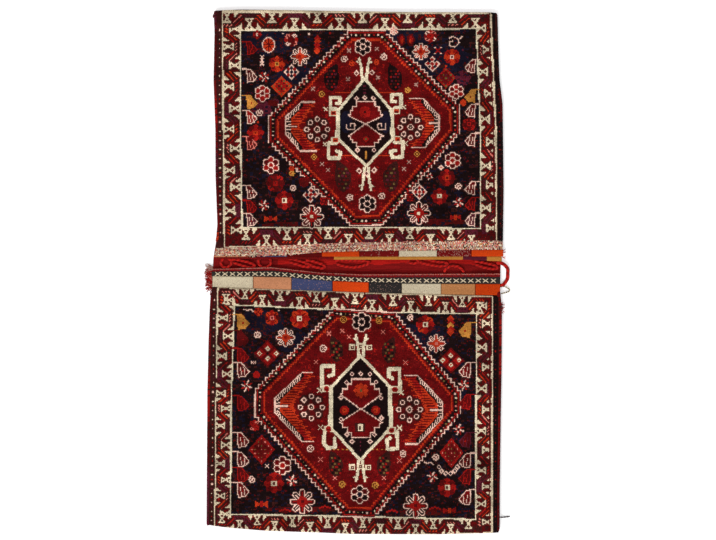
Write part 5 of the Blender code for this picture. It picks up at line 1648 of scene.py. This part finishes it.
class BAG_OT_loose_ends(bpy.types.Operator):
    """Lays the loose wool and the twisted cord end"""
    bl_idname = "bag.loose_ends"
    bl_label = "Loose ends"

    def execute(self, context):
        chance = numpy.random.default_rng(77)
        left = []
        for number in range(120):
            share = number / 119
            yarn = 0 if share < 0.16 else (2 if number % 6 == 5 else 1)
            left.append((212.4 + chance.normal(0, 0.5), 266.5 + 22 * share, 0.003 + 0.003 * chance.random(),
                         math.pi + chance.normal(0.0, 0.4), 0.012 + 0.007 * chance.random(), yarn))
        strands_piece("loose_wool_left", "wool_tuft_left", left, ("mauve", "red", "pink"), 78,
                      thickness=0.0017)
        right = [(501.0 + chance.normal(0, 0.5), 304 + 8.5 * number / 21, 0.004 + 0.002 * chance.random(),
                  chance.normal(0.0, 0.8), 0.006 + 0.004 * chance.random(), number % 2)
                 for number in range(22)]
        strands_piece("loose_wool_right", "wool_tuft_right", right, ("red", "scarlet"), 79)
        threads = [(503.0, 250.5 + 0.6 * number, 0.008, 0.5 - 0.2 * number, 0.007, number % 2)
                   for number in range(4)]
        threads += [(502.6, 256.4 + 0.5 * number, 0.007, -0.4, 0.008, 2) for number in range(3)]
        threads += [(216 + 5.4 * number, 252.5 + 0.5 * (number % 3), 0.014, 4.4, 0.006, 3)
                    for number in range(5)]
        threads += [(250 + 1.1 * number, 253.5, 0.014, 4.9 + 0.4 * (number - 3), 0.009, 3)
                    for number in range(8)]
        strands_piece("loose_threads", None, threads, ("crimson", "scarlet", "pink", "cream"),
                      80)
        knob = [(214.4, 14.2 + 0.8 * number, 0.005, 3.1 + 0.2 * number, 0.0042, number % 2)
                for number in range(4)]
        strands_piece("corner_knob", None, knob, ("plum", "crimson"), 81, thickness=0.0032)
        places = ((499.6, 517.5), (503.0, 517.8), (507.0, 517.6), (510.4, 517.2))
        heights = (0.0060, 0.0034, 0.0020, 0.0018)
        route = [(*spot(*place), height) for place, height in zip(places, heights)]
        path, _ = smooth_path(route, 0.0006)
        points, faces, strands = tube_mesh(path, 0.0014, sides=10, lobes=2, pitch=0.006, depth=0.22)
        yarns = [YARNS.index(("charcoal", "brown")[strand]) for strand in strands]
        new_piece("twisted_end", points, faces, yarns, "braided_wool", ["cord_stub"])
        return {"FINISHED"}


# Stitches
class BAG_OT_stitches(bpy.types.Operator):
    """Sews the crossed stitches along the dark band"""
    bl_idname = "bag.stitches"
    bl_label = "Crossed stitches"

    def execute(self, context):
        sizes = context.scene.bag_sizes
        chance = numpy.random.default_rng(91)
        points, faces = [], []
        first, pitch, count = 217.6, 7.45, 38
        half_wide, half_tall = 2.7, 1.9
        sunk_ends, over = 0.0011, 0.0004
        for number in range(count):
            middle = first + pitch * number + chance.normal(0, 0.25)
            row = float(STITCH_TOP(middle) + PANELS_TOP(middle)) / 2 + 0.1
            for sign in (-1, 1):
                reach = half_wide + chance.normal(0, 0.15)
                height = sizes.strip_top + 0.0010 + (over if sign > 0 else 0.0)
                route = [(*spot(middle + share * reach, row + sign * share * half_tall),
                          height - sunk_ends * share * share) for share in (-1.0, -0.5, 0.0, 0.5, 1.0)]
                path, _ = smooth_path(route, 0.0011)
                add_tube(points, faces, path, 0.0011, sides=7, lobes=2, pitch=0.004, depth=0.12)
        ivory = [YARNS.index("ivory")] * len(faces)
        new_piece("cross_stitches", points, faces, ivory, "combed_wool", [])
        return {"FINISHED"}


# Stage
class BAG_OT_stage(bpy.types.Operator):
    """Sets the floor, the light and the camera over the bag"""
    bl_idname = "bag.stage"
    bl_label = "Stage"

    def execute(self, context):
        sizes = context.scene.bag_sizes
        floor_size, floor_z = 24, -0.0005
        sky_strength, sun_strength, sun_width, sun_tilt = 0.62, 1.75, 24, (38, -22, 0)
        bpy.ops.mesh.primitive_plane_add(size=floor_size, location=(0, 0, floor_z))
        floor = context.object
        floor.name = "floor"
        floor.data.materials.append(floor_material())
        world = bpy.data.worlds.new("studio")
        world.use_nodes = True
        fill_inputs(world.node_tree, world.node_tree.nodes["Background"], {
            "Color": WHITE, "Strength": sky_strength})
        context.scene.world = world
        lamp = bpy.data.lights.new("window_light", "SUN")
        lamp.energy = sun_strength
        lamp.angle = math.radians(sun_width)
        light = bpy.data.objects.new("window_light", lamp)
        light.rotation_euler = [math.radians(angle) for angle in sun_tilt]
        context.scene.collection.objects.link(light)
        picture_wide = 716
        picture_middle = (358, 270)
        distance = 5.0
        farthest_seen = 60
        camera = bpy.data.cameras.new("camera")
        camera.sensor_fit = "HORIZONTAL"
        camera.lens = camera.sensor_width * distance / (picture_wide * sizes.knot)
        camera.clip_end = farthest_seen
        view = bpy.data.objects.new("camera", camera)
        view.location = (*spot(*picture_middle), sizes.pile_top + distance)
        context.scene.collection.objects.link(view)
        context.scene.camera = view
        context.scene.view_settings.view_transform = "Standard"
        return {"FINISHED"}


def floor_material():
    """A white ground that keeps the bag's shadow and shows white in the camera and in reflections."""
    made = bpy.data.materials.new("white_floor")
    made.use_nodes = True
    tree = made.node_tree
    rays = add_node(tree, "LightPath", {}).outputs
    either = {0: rays["Is Camera Ray"], 1: rays["Is Glossy Ray"]}
    seen = add_node(tree, "Math", either, operation="MAXIMUM").outputs[0]
    glow = add_node(tree, "Math", {0: seen, 1: 0.42}, operation="MULTIPLY").outputs[0]
    fill_inputs(tree, tree.nodes["Principled BSDF"], {
        "Base Color": (0.92, 0.92, 0.92, 1), "Roughness": 0.9, "Specular IOR Level": 0.0,
        "Emission Color": WHITE, "Emission Strength": glow})
    return made


# Panel
class BAG_PT_panel(bpy.types.Panel):
    """Lists the bag's pieces, sizes and colours."""
    bl_idname = "BAG_PT_panel"
    bl_label = "Saddle bag"
    bl_space_type = "VIEW_3D"
    bl_region_type = "UI"
    bl_category = "Saddle bag"

    def draw(self, context):
        for operator in STEPS:
            self.layout.operator(operator.bl_idname)
        for group in (context.scene.bag_sizes, context.scene.bag_colours):
            column = self.layout.column()
            for name in type(group).__annotations__:
                column.prop(group, name)


STEPS = (BAG_OT_stage, BAG_OT_loops, BAG_OT_kilim_cloth, BAG_OT_pile_fronts, BAG_OT_bindings, BAG_OT_strips,
         BAG_OT_stitches, BAG_OT_loose_ends)
CLASSES = (BagSizes, BagColours) + STEPS + (BAG_PT_panel,)


def register():
    for entry in CLASSES:
        bpy.utils.register_class(entry)
    bpy.types.Scene.bag_sizes = bpy.props.PointerProperty(type=BagSizes)
    bpy.types.Scene.bag_colours = bpy.props.PointerProperty(type=BagColours)


def unregister():
    del bpy.types.Scene.bag_colours
    del bpy.types.Scene.bag_sizes
    for entry in reversed(CLASSES):
        bpy.utils.unregister_class(entry)


def main():
    register()
    bpy.ops.bag.stage()
    bpy.ops.bag.loops()
    bpy.ops.bag.kilim_cloth()
    bpy.ops.bag.pile_fronts()
    bpy.ops.bag.bindings()
    bpy.ops.bag.strips()
    bpy.ops.bag.stitches()
    bpy.ops.bag.loose_ends()


if __name__ == "__main__":
    main()
